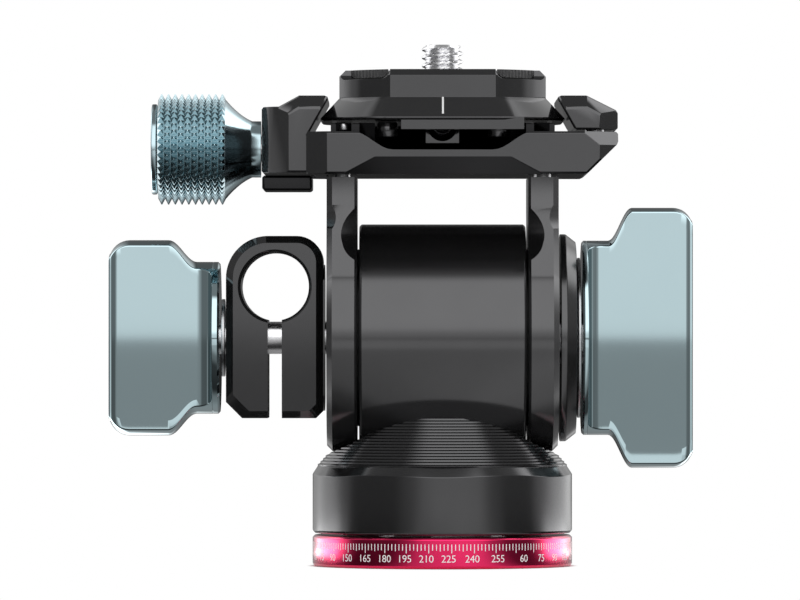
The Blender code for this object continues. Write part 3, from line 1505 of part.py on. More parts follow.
def handle_knob_face():
    return handle_left_face() + 2 * THIN_GAP + HANDLE_WASHER_THICKNESS


def handle_bolt():
    start = ARM_OUTER - BOLT_IN_ARM
    end = handle_knob_face() + BOLT_IN_KNOB
    bolt = rod("handle_bolt", BOLT_RADIUS, start, end, SMALL_STEPS, TO_MINUS_X, TILT_AXIS)
    return dress(bolt, STEEL, POLISHED)


def wing_profile(length, rim, hub, hub_length, curve, corner):
    """Radius and distance from the hub's face: rounded corner, rim, S-curve and hub."""
    rim_start = hub_length + curve
    points = [(0, length)]
    for i in range(ARC_STEPS + 1):
        angle = math.pi / 2 * (1 - i / ARC_STEPS)
        reach = rim - corner + corner * math.cos(angle)
        points.append((reach, length - corner + corner * math.sin(angle)))
    fall = rim - hub
    for i in range(2 * ARC_STEPS + 1):
        share = i / (2 * ARC_STEPS)
        drop = (1 - math.cos(math.pi * share)) / 2
        points.append((rim - fall * drop, rim_start - curve * share))
    points += [(hub, EDGE), (hub - EDGE, 0), (0, 0)]
    return points


def flats_outline(length, flange, rim, sign):
    """One flat's cut (distance, Y): a filleted inner end and a chamfered outer end."""
    face = KNOB_HALF_THICKNESS
    fillet = KNOB_FLAT_FILLET
    outside = rim + OVERRUN
    points = arc((flange + fillet, face + fillet), fillet, math.pi, math.pi + math.pi / 2)
    points += [
        (length - KNOB_END_CHAMFER, face),
        (length + OVERRUN, face - KNOB_END_CHAMFER - OVERRUN),
        (length + OVERRUN, outside),
        (flange, outside),
    ]
    return [(distance, sign * y) for distance, y in points]


def wing_knob(name, face, direction, sizes, bore_radius, bore_depth):
    """A turned knob with two broad flats, bored from its hub."""
    length, rim, hub, hub_length, flange, curve, corner = sizes
    heading = TO_X if direction > 0 else TO_MINUS_X
    place = TILT_AXIS + Vector((direction * face, 0, 0))
    profile = wing_profile(length, rim, hub, hub_length, curve, corner)
    knob = turned(name, profile, KNOB_STEPS, place, heading)
    low = TILT_AXIS_HEIGHT - rim - OVERRUN
    high = TILT_AXIS_HEIGHT + rim + OVERRUN
    for end, sign in (("front", -1), ("back", 1)):
        outline = flats_outline(length, flange, rim, sign)
        outline = [(direction * (face + distance), y) for distance, y in outline]
        cut(knob, prism(f"{name}_{end}_flat", outline, low, high, "Z", True))
    bore = rod(f"{name}_bore", bore_radius, -OVERRUN, bore_depth, SMALL_STEPS, heading, place, True)
    cut(knob, bore)
    return dress(knob, BLUE_GREY, ANODISED)


def handle_knob():
    sizes = (
        HANDLE_KNOB_LENGTH,
        HANDLE_KNOB_RIM,
        HANDLE_KNOB_HUB,
        HANDLE_KNOB_HUB_LENGTH,
        HANDLE_KNOB_FLANGE,
        HANDLE_KNOB_CURVE,
        HANDLE_KNOB_ROUND,
    )
    return wing_knob("handle_knob", handle_knob_face(), -1, sizes, BOLT_HOLE, BOLT_IN_KNOB + GAP)


def tilt_knob():
    sizes = (
        TILT_KNOB_LENGTH,
        TILT_KNOB_RIM,
        TILT_KNOB_HUB,
        TILT_KNOB_HUB_LENGTH,
        TILT_KNOB_FLANGE,
        TILT_KNOB_CURVE,
        TILT_KNOB_ROUND,
    )
    return wing_knob("tilt_knob", knob_hub_face(), 1, sizes, AXLE_HOLE, AXLE_IN_KNOB + GAP)


def knob_spacer():
    start = ARM_OUTER + GAP + DISC_WIDTH + THIN_GAP
    spacer = tube(
        "knob_spacer", SPACER_RADIUS, AXLE_HOLE, start, start + SPACER_WIDTH, ROUND_STEPS, TO_X, TILT_AXIS
    )
    return dress(spacer, STEEL, TURNED_METAL)


# The whole head, each moving group under an empty on its joint's axis


def hang(pivot_object, pieces):
    for piece in pieces:
        join(piece, pivot_object)


def build():
    base = pivot("base_origin", (0, 0, 0))
    hang(base, [degree_ring(), mount_disc(), thread_insert(), pan_spindle(), pan_drag_washer()])
    hang(base, base_screws())

    pan = pivot("pan_axis", (0, 0, HOUSING_FOOT), base)
    hang(pan, [pan_housing(), pan_retainer(), pan_bearing(), drag_sleeve()])
    hang(pan, [barrel_bush("left", TO_MINUS_X), barrel_bush("right", TO_X)])

    tilt = pivot("tilt_axis", TILT_AXIS, pan)
    hang(tilt, [tilt_axle(), drag_rotor(), left_arm(), right_arm(), tilt_disc()])
    hang(tilt, [clamp_base(), fixed_jaw(), safety_pin()])
    hang(tilt, arm_screws())
    hang(tilt, jaw_screws())

    handle = pivot("handle_clamp_axis", TILT_AXIS, tilt)
    hang(handle, [handle_clamp()])
    handle_turn = pivot("handle_knob_axis", TILT_AXIS, handle)
    hang(handle_turn, [handle_washer(), handle_bolt(), handle_knob()])

    lock_turn = pivot("tilt_knob_axis", TILT_AXIS, tilt)
    hang(lock_turn, [knob_spacer(), tilt_knob()])

    screw_axis = Vector((0, 0, SCREW_AXIS_HEIGHT))
    jaw = pivot("jaw_slide", screw_axis, tilt)
    hang(jaw, [sliding_jaw(), jaw_guide()])
    hang(jaw, guide_pins())
    jaw_turn = pivot("jaw_knob_axis", screw_axis, jaw)
    knob, drum_end = jaw_knob()
    hang(jaw_turn, [knob, jaw_knob_cap(drum_end), clamp_screw()])

    plate = pivot("plate_slide", Vector((0, 0, PLATE_FOOT)), tilt)
    hang(plate, [quick_plate(), screw_cradle()])
    hang(plate, [rubber_pad(corner, x, y) for corner, (x, y) in PAD_CORNERS.items()])
    hang(plate, plate_stops())
    thread = pivot("camera_screw_axis", Vector((0, 0, PLATE_FOOT)), plate)
    hang(thread, [camera_screw()])


build()
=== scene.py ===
# %% [markdown]
# # A small fluid video head
#
# A video head joins a camera to a tripod. It pans on a ringed base, tilts on a fat barrel that hides a
# drag cartridge, and holds the camera by a quick-release plate between two jaws. Nearly all of it is
# aluminium that was turned or milled, bead blasted and anodised in black, blue-grey or magenta.
#
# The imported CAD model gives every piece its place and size. This lesson makes finer copies of the
# visible pieces, with rounded edges, knurls, threads and engraved marks, and gives each its finish.

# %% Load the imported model
import math

import bmesh
import bpy
from mathutils import Matrix, Vector


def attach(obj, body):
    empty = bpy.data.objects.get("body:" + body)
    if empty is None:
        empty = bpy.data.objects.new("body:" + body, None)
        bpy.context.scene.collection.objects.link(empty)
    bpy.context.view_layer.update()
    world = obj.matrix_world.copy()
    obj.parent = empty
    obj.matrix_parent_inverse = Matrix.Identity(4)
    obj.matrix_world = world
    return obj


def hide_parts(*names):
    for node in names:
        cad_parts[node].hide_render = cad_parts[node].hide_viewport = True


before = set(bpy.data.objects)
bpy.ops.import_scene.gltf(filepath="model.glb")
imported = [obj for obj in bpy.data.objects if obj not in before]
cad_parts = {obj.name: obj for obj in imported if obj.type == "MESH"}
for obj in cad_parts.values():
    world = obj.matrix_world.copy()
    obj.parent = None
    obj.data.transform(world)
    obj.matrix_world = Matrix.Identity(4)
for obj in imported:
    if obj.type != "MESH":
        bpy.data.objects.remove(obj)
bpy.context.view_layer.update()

MM = 0.001

# %% [markdown]
# ## Shapes
#
# Most of this object came off a lathe or a milling machine, so two ways of making a mesh cover it.
# A turned piece is a profile swept round an axis: the profile is a short list of radius and height
# pairs. A milled piece is an outline pulled straight, then cut by other solids. No real edge is
# perfectly sharp, and the light line along each edge is what makes metal look like metal, so both
# ways end by easing the edges.

# %% Helpers for meshes
TILT_AXIS = Vector((0, 0, 35.3 * MM))
ROUND = 192
TO_X = Matrix.Rotation(math.pi / 2, 4, "Y")
TO_MINUS_X = Matrix.Rotation(-math.pi / 2, 4, "Y")
TO_Y = Matrix.Rotation(-math.pi / 2, 4, "X")


def as_piece(name, shape, place=None):
    """A mesh object from a bmesh, moved by a matrix so that its own origin stays at the frame's origin."""
    bmesh.ops.recalc_face_normals(shape, faces=shape.faces)
    mesh = bpy.data.meshes.new(name)
    shape.to_mesh(mesh)
    shape.free()
    if place:
        mesh.transform(place)
    piece = bpy.data.objects.new(name, mesh)
    bpy.context.scene.collection.objects.link(piece)
    return piece


def at(point, turn=None):
    """The matrix that turns a piece and then moves it to a point."""
    return Matrix.Translation(point) @ (turn or Matrix.Identity(4))


def arc(middle, radius, start, end, steps):
    """Points on an arc, its angles in degrees."""
    angles = [math.radians(start + (end - start) * i / steps) for i in range(steps + 1)]
    return [(middle[0] + radius * math.cos(a), middle[1] + radius * math.sin(a)) for a in angles]


def eased(points, ease, closed=False, steps=3):
    """The same outline with each real corner replaced by a small curve."""
    count = len(points)
    result = []
    for i, point in enumerate(points):
        here = Vector(point)
        if not closed and i in (0, count - 1):
            result.append(tuple(here))
            continue
        back = Vector(points[i - 1]) - here
        ahead = Vector(points[(i + 1) % count]) - here
        if back.length < 2 * ease or ahead.length < 2 * ease or back.angle(-ahead) < math.radians(25):
            result.append(tuple(here))
            continue
        first = here + back.normalized() * ease
        last = here + ahead.normalized() * ease
        for k in range(steps + 1):
            t = k / steps
            result.append(tuple((1 - t) ** 2 * first + 2 * t * (1 - t) * here + t ** 2 * last))
    return result


def lathe(name, profile, place=None, steps=ROUND, ring=False):
    """A profile of (radius, height) turned round Z. A ring's profile closes on itself."""
    shape = bmesh.new()
    rows = []
    for radius, height in profile:
        if radius < 1e-9:
            rows.append([shape.verts.new((0, 0, height))])
            continue
        turns = [math.tau * i / steps for i in range(steps)]
        rows.append([shape.verts.new((radius * math.cos(a), radius * math.sin(a), height)) for a in turns])
    pairs = list(zip(rows, rows[1:])) + ([(rows[-1], rows[0])] if ring else [])
    for upper, lower in pairs:
        for i in range(steps):
            j = (i + 1) % steps
            corners = [upper[i % len(upper)], upper[j % len(upper)], lower[j % len(lower)], lower[i % len(lower)]]
            corners = list(dict.fromkeys(corners))
            if len(corners) > 2:
                shape.faces.new(corners)
    return as_piece(name, shape, place)


def loft(name, sections, ring=False):
    """A skin over closed sections with the same number of points, capped at both ends or closed in a ring."""
    shape = bmesh.new()
    rings = [[shape.verts.new(point) for point in section] for section in sections]
    for lower, upper in list(zip(rings, rings[1:])) + ([(rings[-1], rings[0])] if ring else []):
        for i in range(len(lower)):
            j = (i + 1) % len(lower)
            shape.faces.new((lower[i], lower[j], upper[j], upper[i]))
    if not ring:
        shape.faces.new(list(reversed(rings[0])))
        shape.faces.new(rings[-1])
    return as_piece(name, shape)


def laid(outline, level, axis):
    """An outline's points in space, at a level along an axis."""
    spots = {"X": lambda a, b: (level, a, b), "Y": lambda a, b: (a, level, b), "Z": lambda a, b: (a, b, level)}
    return [spots[axis](first, second) for first, second in outline]


def pulled(name, outline, low, high, axis="Y"):
    return loft(name, [laid(outline, low, axis), laid(outline, high, axis)])


def box(name, low, high):
    outline = [(low[0], low[1]), (high[0], low[1]), (high[0], high[1]), (low[0], high[1])]
    return pulled(name, outline, low[2], high[2], "Z")


def rod(name, radius, start, end, place=None, steps=64):
    return lathe(name, [(0, end), (radius, end), (radius, start), (0, start)], place, steps)


def shaped(piece, *tools, how="DIFFERENCE"):
    """Cuts, joins or trims a piece with other solids, which are used up."""
    for tool in tools:
        step = piece.modifiers.new(tool.name, "BOOLEAN")
        step.operation = how
        step.object = tool
        step.solver = "EXACT"
    settle(piece)
    for tool in tools:
        bpy.data.objects.remove(tool)
    return piece


def settle(piece):
    """Turns a piece's modifiers into plain mesh."""
    graph = bpy.context.evaluated_depsgraph_get()
    plain = bpy.data.meshes.new_from_object(piece.evaluated_get(graph))
    piece.modifiers.clear()
    piece.data = plain
    return piece


def cad_copy(node, name):
    """A merged copy of a CAD node's mesh, whose facets are flat already."""
    shape = bmesh.new()
    shape.from_mesh(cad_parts[node].data)
    bmesh.ops.remove_doubles(shape, verts=shape.verts, dist=0.002 * MM)
    return as_piece(name, shape)


print("Mesh helpers ready; the tilt axis is at", [round(x / MM, 2) for x in TILT_AXIS])

# %% [markdown]
# ## Easing the edges
#
# A bevel of a tenth or two of a millimetre is what a deburring tool leaves. Weighted normals keep the
# flat faces flat in the shading, so only the bevel itself bends the light.

# %% Helper that finishes a piece
SHARP = math.radians(32)


def dressed(piece, body, finish, slot, *nodes, ease=0.12 * MM, rings=2, sharp=SHARP):
    """Eases a piece's edges, gives it its finish and seats it on its body in place of CAD nodes."""
    if ease:
        shape = bmesh.new()
        shape.from_mesh(piece.data)
        bmesh.ops.remove_doubles(shape, verts=shape.verts, dist=0.002 * MM)
        bmesh.ops.dissolve_limit(
            shape, angle_limit=math.radians(0.4), verts=shape.verts, edges=shape.edges, delimit={"NORMAL"}
        )
        shape.to_mesh(piece.data)
        shape.free()
        bevel = piece.modifiers.new("eased edges", "BEVEL")
        bevel.width = ease
        bevel.segments = rings
        bevel.limit_method = "ANGLE"
        bevel.angle_limit = sharp
        bevel.miter_outer = "MITER_ARC"
        settle(piece)
    piece.data.shade_smooth()
    piece.data.set_sharp_from_angle(angle=sharp)
    weigh = piece.modifiers.new("flat faces stay flat", "WEIGHTED_NORMAL")
    weigh.keep_sharp = True
    settle(piece)
    piece.data.materials.clear()
    piece.data.materials.append(finish)
    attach(piece, body)
    if nodes:
        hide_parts(*nodes)
    print(f"{piece.name}: {len(piece.data.polygons)} faces on {body}")
    return piece


# %% [markdown]
# ## Finishes
#
# Anodising grows a thin hard layer of aluminium oxide, which is dyed and sealed. The dye tints the
# metal's own colour, and what the tool left below it decides how sharply it mirrors. The black and
# blue-grey turned faces are crisp, the housing and the arms are satin, and the rolled knob is softer
# than the wing knobs. A darker black is painted shade on faces that lie in shade under the plate. Each
# has a fine grain in gloss and height. Colours are written as sRGB hex, as a paint chart gives them,
# and turned to linear light by one function.

# %% Helpers for materials
def linear(hex_colour):
    """An sRGB hex colour as linear light."""
    parts = [int(hex_colour[i:i + 2], 16) / 255 for i in (0, 2, 4)]
    return tuple(c / 12.92 if c <= 0.04045 else ((c + 0.055) / 1.055) ** 2.4 for c in parts) + (1.0,)


def add_node(tree, kind, inputs=None, **settings):
    """Adds a node, sets it, and fills or links its inputs."""
    made = tree.nodes.new(kind)
    for name, value in settings.items():
        setattr(made, name, value)
    for key, value in (inputs or {}).items():
        if isinstance(value, bpy.types.NodeSocket):
            tree.links.new(value, made.inputs[key])
        else:
            made.inputs[key].default_value = value
    return made


def blasted_metal(name, colour, tint, roughness, grain_mm=0.16, bump=0.05, metallic=1.0, coat=0.0):
    """Anodised metal: a fine grain in height and gloss, a slow drift in colour."""
    material = bpy.data.materials.new(name)
    material.use_nodes = True
    tree = material.node_tree
    shader = tree.nodes["Principled BSDF"]
    place = add_node(tree, "ShaderNodeTexCoord").outputs["Object"]
    grain = add_node(tree, "ShaderNodeTexNoise", {"Vector": place, "Scale": 1 / (grain_mm * MM), "Detail": 2.0})
    drift = add_node(tree, "ShaderNodeTexNoise", {"Vector": place, "Scale": 1 / (9 * MM), "Detail": 3.0})
    colours = add_node(tree, "ShaderNodeMix", {"Factor": drift.outputs["Fac"]}, data_type="RGBA")
    colours.inputs[6].default_value = linear(colour)
    colours.inputs[7].default_value = linear(tint)
    gloss = add_node(
        tree,
        "ShaderNodeMapRange",
        {"Value": grain.outputs["Fac"], "To Min": 0.8 * roughness, "To Max": 1.2 * roughness},
    )
    height = add_node(
        tree, "ShaderNodeBump", {"Height": grain.outputs["Fac"], "Strength": bump, "Distance": 0.02 * MM}
    )
    tree.links.new(colours.outputs[2], shader.inputs["Base Color"])
    tree.links.new(gloss.outputs[0], shader.inputs["Roughness"])
    tree.links.new(height.outputs[0], shader.inputs["Normal"])
    shader.inputs["Metallic"].default_value = metallic
    shader.inputs["Coat Weight"].default_value = coat
    shader.inputs["Coat Roughness"].default_value = 0.1
    shader.inputs["Coat IOR"].default_value = 1.4
    return material


black_anodised = blasted_metal("black_anodised_aluminium", "4f4f50", "545455", 0.055, bump=0.008, metallic=0.91)
blue_grey_anodised = blasted_metal("blue_grey_anodised_aluminium", "b4cacf", "b8cdd2", 0.024, bump=0.002)
satin_black = blasted_metal("satin_black_anodised_aluminium", "4f4f50", "545455", 0.15, bump=0.02, metallic=0.91)
rolled_blue_grey = blasted_metal("rolled_blue_grey_aluminium", "a9bec4", "b0c4ca", 0.14, bump=0.01)
# A darker black that is painted shade, for faces that lie in shade under the plate.
shade_painted_black = blasted_metal("milled_black_aluminium", "2c2c2d", "303031", 0.12, bump=0.01, metallic=0.95)
magenta_anodised = blasted_metal("magenta_anodised_aluminium", "f6105f", "f81a68", 0.12, coat=1.0)
print("Anodised finishes:", black_anodised.name, blue_grey_anodised.name, magenta_anodised.name)

# %% [markdown]
# ## The degree ring
#
# The lowest piece is a plain turned ring with small chamfers. It stays still while the head pans, so
# it carries the scale. A profile turned in fine steps gives it a true round rim.

# %% Degree ring
RING_RADIUS = 20.1 * MM
RING_BORE = 15.6 * MM
RING_HEIGHT = 4.8 * MM
RING_CHAMFER = 0.35 * MM

ring_profile = [
    (RING_RADIUS - RING_CHAMFER, RING_HEIGHT),
    (RING_RADIUS, RING_HEIGHT - RING_CHAMFER),
    (RING_RADIUS, RING_CHAMFER),
    (RING_RADIUS - RING_CHAMFER, 0),
    (RING_BORE, 0),
    (RING_BORE, RING_HEIGHT),
]
ring = lathe("degree_ring_body", eased(ring_profile, 0.1 * MM, closed=True), steps=256, ring=True)
dressed(ring, "base", magenta_anodised, "magenta_anodised", "degree_ring", ease=0)

# %% [markdown]
# ## The scale
#
# The marks are laser engraved and filled with white. One Geometry Nodes tree makes them all: it puts
# points on a circle, a thin block on each, and lets every third and sixth one be longer. It is the
# same rule that the engraver's machine follows, so a change of pitch is one number.

# %% White filling and a tree for the marks
def flat_paint(name, colour, roughness, grain_mm=0.3):
    """Paint or rubber: one colour with a slight mottle."""
    material = bpy.data.materials.new(name)
    material.use_nodes = True
    tree = material.node_tree
    shader = tree.nodes["Principled BSDF"]
    place = add_node(tree, "ShaderNodeTexCoord").outputs["Object"]
    mottle = add_node(tree, "ShaderNodeTexNoise", {"Vector": place, "Scale": 1 / (grain_mm * MM), "Detail": 2.0})
    gloss = add_node(
        tree,
        "ShaderNodeMapRange",
        {"Value": mottle.outputs["Fac"], "To Min": roughness - 0.08, "To Max": roughness + 0.08},
    )
    height = add_node(
        tree, "ShaderNodeBump", {"Height": mottle.outputs["Fac"], "Strength": 0.15, "Distance": 0.02 * MM}
    )
    shader.inputs["Base Color"].default_value = linear(colour)
    tree.links.new(gloss.outputs[0], shader.inputs["Roughness"])
    tree.links.new(height.outputs[0], shader.inputs["Normal"])
    return material


scale_white = flat_paint("white_engraving_fill", "f2f2f2", 0.5)


def group_tree(name, sizes):
    """An empty Geometry Nodes tree with named sizes as inputs."""
    tree = bpy.data.node_groups.new(name, "GeometryNodeTree")
    tree.interface.new_socket("Geometry", in_out="INPUT", socket_type="NodeSocketGeometry")
    for size, kind in sizes:
        tree.interface.new_socket(size, in_out="INPUT", socket_type=kind)
    tree.interface.new_socket("Geometry", in_out="OUTPUT", socket_type="NodeSocketGeometry")
    entry = tree.nodes.new("NodeGroupInput")
    return tree, entry


def grown(name, tree, sizes, finish, points=()):
    """Runs a tree on some points with its sizes set by socket identifier, and keeps the result as mesh."""
    mesh = bpy.data.meshes.new(name)
    mesh.from_pydata([tuple(point) for point in points], [], [])
    piece = bpy.data.objects.new(name, mesh)
    bpy.context.scene.collection.objects.link(piece)
    step = piece.modifiers.new(name, "NODES")
    step.node_group = tree
    for item in tree.interface.items_tree:
        if item.item_type == "SOCKET" and item.in_out == "INPUT" and item.name in sizes:
            step[item.identifier] = sizes[item.name]
    settle(piece)
    piece.data.materials.clear()
    piece.data.materials.append(finish)
    return piece


FLOAT = "NodeSocketFloat"
WHOLE = "NodeSocketInt"
COUNT_ROUND = 216
FIRST_NUMBER = -90 - 46.2
MARK_TOP = 3.78 * MM
tick_sizes = [("Radius", FLOAT), ("Count", WHOLE), ("Width", FLOAT), ("Short", FLOAT), ("Top", FLOAT)]
ticks, entry = group_tree("scale_marks", tick_sizes)


def maths(tree, operation, *values):
    """A Math node's result."""
    return add_node(tree, "ShaderNodeMath", dict(enumerate(values)), operation=operation).outputs[0]


circle = add_node(
    ticks,
    "GeometryNodeMeshCircle",
    {"Vertices": entry.outputs["Count"], "Radius": entry.outputs["Radius"]},
)
index = add_node(ticks, "GeometryNodeInputIndex").outputs[0]
third = maths(ticks, "COMPARE", maths(ticks, "MODULO", index, 3.0), 0.0, 0.1)
sixth = maths(ticks, "COMPARE", maths(ticks, "MODULO", index, 6.0), 0.0, 0.1)
stretch = maths(ticks, "ADD", maths(ticks, "MULTIPLY_ADD", third, 0.12, 1.0), maths(ticks, "MULTIPLY", sixth, 0.32))
length = maths(ticks, "MULTIPLY", stretch, entry.outputs["Short"])
drop = maths(ticks, "MULTIPLY", length, -0.5)
height = maths(ticks, "ADD", entry.outputs["Top"], drop)
offset = add_node(ticks, "ShaderNodeCombineXYZ", {"Z": height}).outputs[0]
placed = add_node(ticks, "GeometryNodeSetPosition", {"Geometry": circle.outputs[0], "Offset": offset})
block = add_node(ticks, "GeometryNodeMeshCube", {"Size": (1.0, 1.0, 1.0)})
where = add_node(ticks, "GeometryNodeInputPosition").outputs[0]
outward = add_node(ticks, "ShaderNodeVectorMath", {0: where, 1: (1.0, 1.0, 0.0)}, operation="MULTIPLY").outputs[0]
facing = add_node(ticks, "FunctionNodeAlignRotationToVector", {"Vector": outward}, axis="X", pivot_axis="Z")
girth = add_node(
    ticks, "ShaderNodeCombineXYZ", {"X": 0.03 * MM, "Y": entry.outputs["Width"], "Z": length}
).outputs[0]
spread = add_node(
    ticks,
    "GeometryNodeInstanceOnPoints",
    {"Points": placed.outputs[0], "Instance": block.outputs[0], "Rotation": facing.outputs[0], "Scale": girth},
)
solid = add_node(ticks, "GeometryNodeRealizeInstances", {"Geometry": spread.outputs[0]})
painted = add_node(ticks, "GeometryNodeSetMaterial", {"Geometry": solid.outputs[0], "Material": scale_white})
add_node(ticks, "NodeGroupOutput", {"Geometry": painted.outputs[0]})

marks = grown(
    "degree_scale_marks",
    ticks,
    {"Radius": RING_RADIUS, "Count": COUNT_ROUND, "Width": 0.13 * MM, "Short": 0.95 * MM, "Top": MARK_TOP},
    scale_white,
)
print("Scale marks:", len(marks.data.polygons) // 6)
marks.data.transform(Matrix.Rotation(math.radians(FIRST_NUMBER), 4, "Z"))
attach(marks, "base")

# %% [markdown]
# ## The numbers
#
# Text is the quickest way to plain figures. Each number is made a flat mesh, given a hair of thickness
# and then wrapped round the ring, so that the figures follow the curve as engraved ones do. The front
# numbers stand at angles read off the photograph, and the hidden side carries on in even steps.

# %% Numbers on the ring
FRONT_PLACES = (-47.1, -36.5, -26.5, -17.0, -7.3, 2.5, 12.9, 24.8, 38.1, 48.7)
BACK_NUMBERS = 25
NUMBER_HEIGHT = 1.12 * MM
NUMBER_MIDDLE = 1.58 * MM
numbers = list(range(150, 256, 15)) + list(range(60, 346, 15)) + list(range(0, 91, 15))
back_step = (360 + FRONT_PLACES[0] - FRONT_PLACES[-1]) / (BACK_NUMBERS + 1)
number_places = list(FRONT_PLACES) + [FRONT_PLACES[-1] + back_step * (i + 1) for i in range(BACK_NUMBERS)]


def number_mesh(value):
    """The flat outline of a number as mesh, centred on the origin."""
    curve = bpy.data.curves.new(f"number_{value}", "FONT")
    curve.body = str(value)
    curve.size = NUMBER_HEIGHT / 0.70
    curve.align_x = "CENTER"
    curve.resolution_u = 3
    curve.extrude = 0.015 * MM
    curve.offset = -0.004 * MM
    curve.space_character = 0.96
    holder = bpy.data.objects.new(curve.name, curve)
    bpy.context.scene.collection.objects.link(holder)
    bpy.context.view_layer.update()
    mesh = bpy.data.meshes.new_from_object(holder.evaluated_get(bpy.context.evaluated_depsgraph_get()))
    bpy.data.objects.remove(holder)
    bpy.data.curves.remove(curve)
    return mesh


figures = bmesh.new()
for value, place in zip(numbers, number_places):
    mesh = number_mesh(value)
    middle = place - 90
    for vertex in mesh.vertices:
        x, y, z = vertex.co
        angle = math.radians(middle) + x / RING_RADIUS
        reach = RING_RADIUS + z
        vertex.co = (reach * math.cos(angle), reach * math.sin(angle), NUMBER_MIDDLE + y - NUMBER_HEIGHT / 2)
    figures.from_mesh(mesh)
    bpy.data.meshes.remove(mesh)
scale_numbers = as_piece("degree_scale_numbers", figures)
scale_numbers.data.materials.append(scale_white)
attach(scale_numbers, "base")
print("Numbers on the ring:", len(numbers))

# %% [markdown]
# ## The pan housing
#
# Rim, ribbed neck and barrel are one casting that was turned and then bored across. The rim's lower
# edge rises and falls in six slow waves. The neck is a stair of eighteen narrow ribs whose treads
# catch the light from above. Sections round the pan axis carry both, so they are one loft.

# %% Housing below the barrel
FOOT = 5.1 * MM
FOOT_CHAMFER = 0.4 * MM
RIM_TOP = 14.3 * MM
WAVE = 0.3 * MM
NECK_FOOT = RIM_TOP + 1.15 * MM
NECK_FOOT_RADIUS = RING_RADIUS - 0.8 * MM
NECK_SLOPE = 0.9
RIBS = 18
RIB_PITCH = 0.448 * MM
RIB_RISER = 0.6 * RIB_PITCH


def waved(radius, height, wave_in=0.0, wave_down=0.0, steps=240):
    """One ring of points round the pan axis, with the rim's wave in radius or height."""
    points = []
    for i in range(steps):
        angle = math.tau * i / steps
        swing = (1 - math.cos(6 * angle)) / 2
        reach = radius - wave_in * swing
        points.append((reach * math.cos(angle), reach * math.sin(angle), height - wave_down * swing))
    return points


def neck_radius(height):
    return NECK_FOOT_RADIUS - NECK_SLOPE * (height - NECK_FOOT)


stair = []
for rib in range(RIBS):
    low = NECK_FOOT + rib * RIB_PITCH
    stair += [(neck_radius(low), low), (neck_radius(low), low + RIB_RISER)]
neck_top = NECK_FOOT + RIBS * RIB_PITCH
stair += [(neck_radius(neck_top), neck_top), (neck_radius(neck_top) * 0.93, neck_top + 1.2 * MM)]
rim = [
    (RING_RADIUS - FOOT_CHAMFER, FOOT, 0.0),
    (RING_RADIUS - 0.1 * MM, FOOT + 0.28 * MM, 0.0),
    (RING_RADIUS, FOOT + 0.5 * MM, 0.0),
    (RING_RADIUS, RIM_TOP - 0.12 * MM, WAVE),
    (RING_RADIUS - 0.05 * MM, RIM_TOP, WAVE),
]
sections = [waved(radius, height, 0.0, down) for radius, height, down in rim]
sections.append(waved(NECK_FOOT_RADIUS + 0.04 * MM, NECK_FOOT - 0.05 * MM, WAVE))
for radius, height in eased(stair, 0.04 * MM, steps=2):
    sections.append(waved(radius, height, WAVE if height < NECK_FOOT + 0.01 * MM else 0.0))
housing = loft("pan_housing_body", sections)
print("Housing below the barrel:", len(housing.data.polygons), "faces")

# %% Barrel, bores and the arms' clearance
BARREL_RADIUS = 17.57 * MM
BARREL_HALF = 12.85 * MM
BARREL_BORE = 14.0 * MM
across = at(TILT_AXIS, TO_X)
reach = RING_RADIUS + MM
clear = BARREL_RADIUS + 0.6 * MM
room_right = rod("room_right", clear, BARREL_HALF, reach, across, ROUND)
room_left = rod("room_left", clear, -reach, -BARREL_HALF, across, ROUND)
shaped(housing, room_right, room_left)
barrel_profile = [
    (0, BARREL_HALF),
    (BARREL_RADIUS - 0.35 * MM, BARREL_HALF),
    (BARREL_RADIUS, BARREL_HALF - 0.35 * MM),
    (BARREL_RADIUS, 0.35 * MM - BARREL_HALF),
    (BARREL_RADIUS - 0.35 * MM, -BARREL_HALF),
    (0, -BARREL_HALF),
]
barrel = lathe("barrel", eased(barrel_profile, 0.12 * MM), across)
shaped(housing, barrel, how="UNION")
bore = rod("bore", BARREL_BORE, -BARREL_HALF - MM, BARREL_HALF + MM, across, ROUND)
pan_bore = lathe(
    "pan_bore",
    [
        (0, 13.6 * MM),
        (13.2 * MM, 13.6 * MM),
        (13.2 * MM, 7.85 * MM),
        (RING_BORE, 7.85 * MM),
        (RING_BORE, FOOT - MM),
        (0, FOOT - MM),
    ],
)
shaped(housing, bore, pan_bore)
dressed(housing, "pan", satin_black, "black_anodised", "pan_housing", ease=0)

# %% [markdown]
# ## Arms and tilt disc
#
# Each arm is a milled plate, round about the axle and drawn in like a bell's shoulder to a stem that
# carries the clamp. A round cutter took a shallow bite out of each upright corner of the stem.

# %% Arms
ARM_INNER = 13.15 * MM
ARM_OUTER = 17.85 * MM
STEM_HALF = 10.8 * MM
CLAMP_FOOT = 60.3 * MM
FILLET_RISE = 10.6 * MM
BELL_RISE = 4.6 * MM
BELL_OUT = 2.1 * MM
ARM_RECESS = 0.6 * MM


def arm_outline(inset, steps=96):
    """An arm's side outline (Y, Z)."""
    radius = BARREL_RADIUS - inset
    crease = math.degrees(math.asin(9.9 * MM / BARREL_RADIUS))
    stem = STEM_HALF - inset
    round_part = arc((0, TILT_AXIS.z), radius, crease, -180 - crease, steps)
    crease_y, crease_z = round_part[0]
    bell = [(crease_y, crease_z), (crease_y - BELL_OUT, crease_z + BELL_RISE), (stem, crease_z + FILLET_RISE)]
    fillet = eased(bell + [(stem, crease_z + FILLET_RISE + 2 * MM)], 0.2 * MM, steps=6)[1:-1]
    top = CLAMP_FOOT - 0.3 * MM
    left = [(-y, z) for y, z in fillet]
    return round_part + left + [(-stem, top), (stem, top)] + list(reversed(fillet))


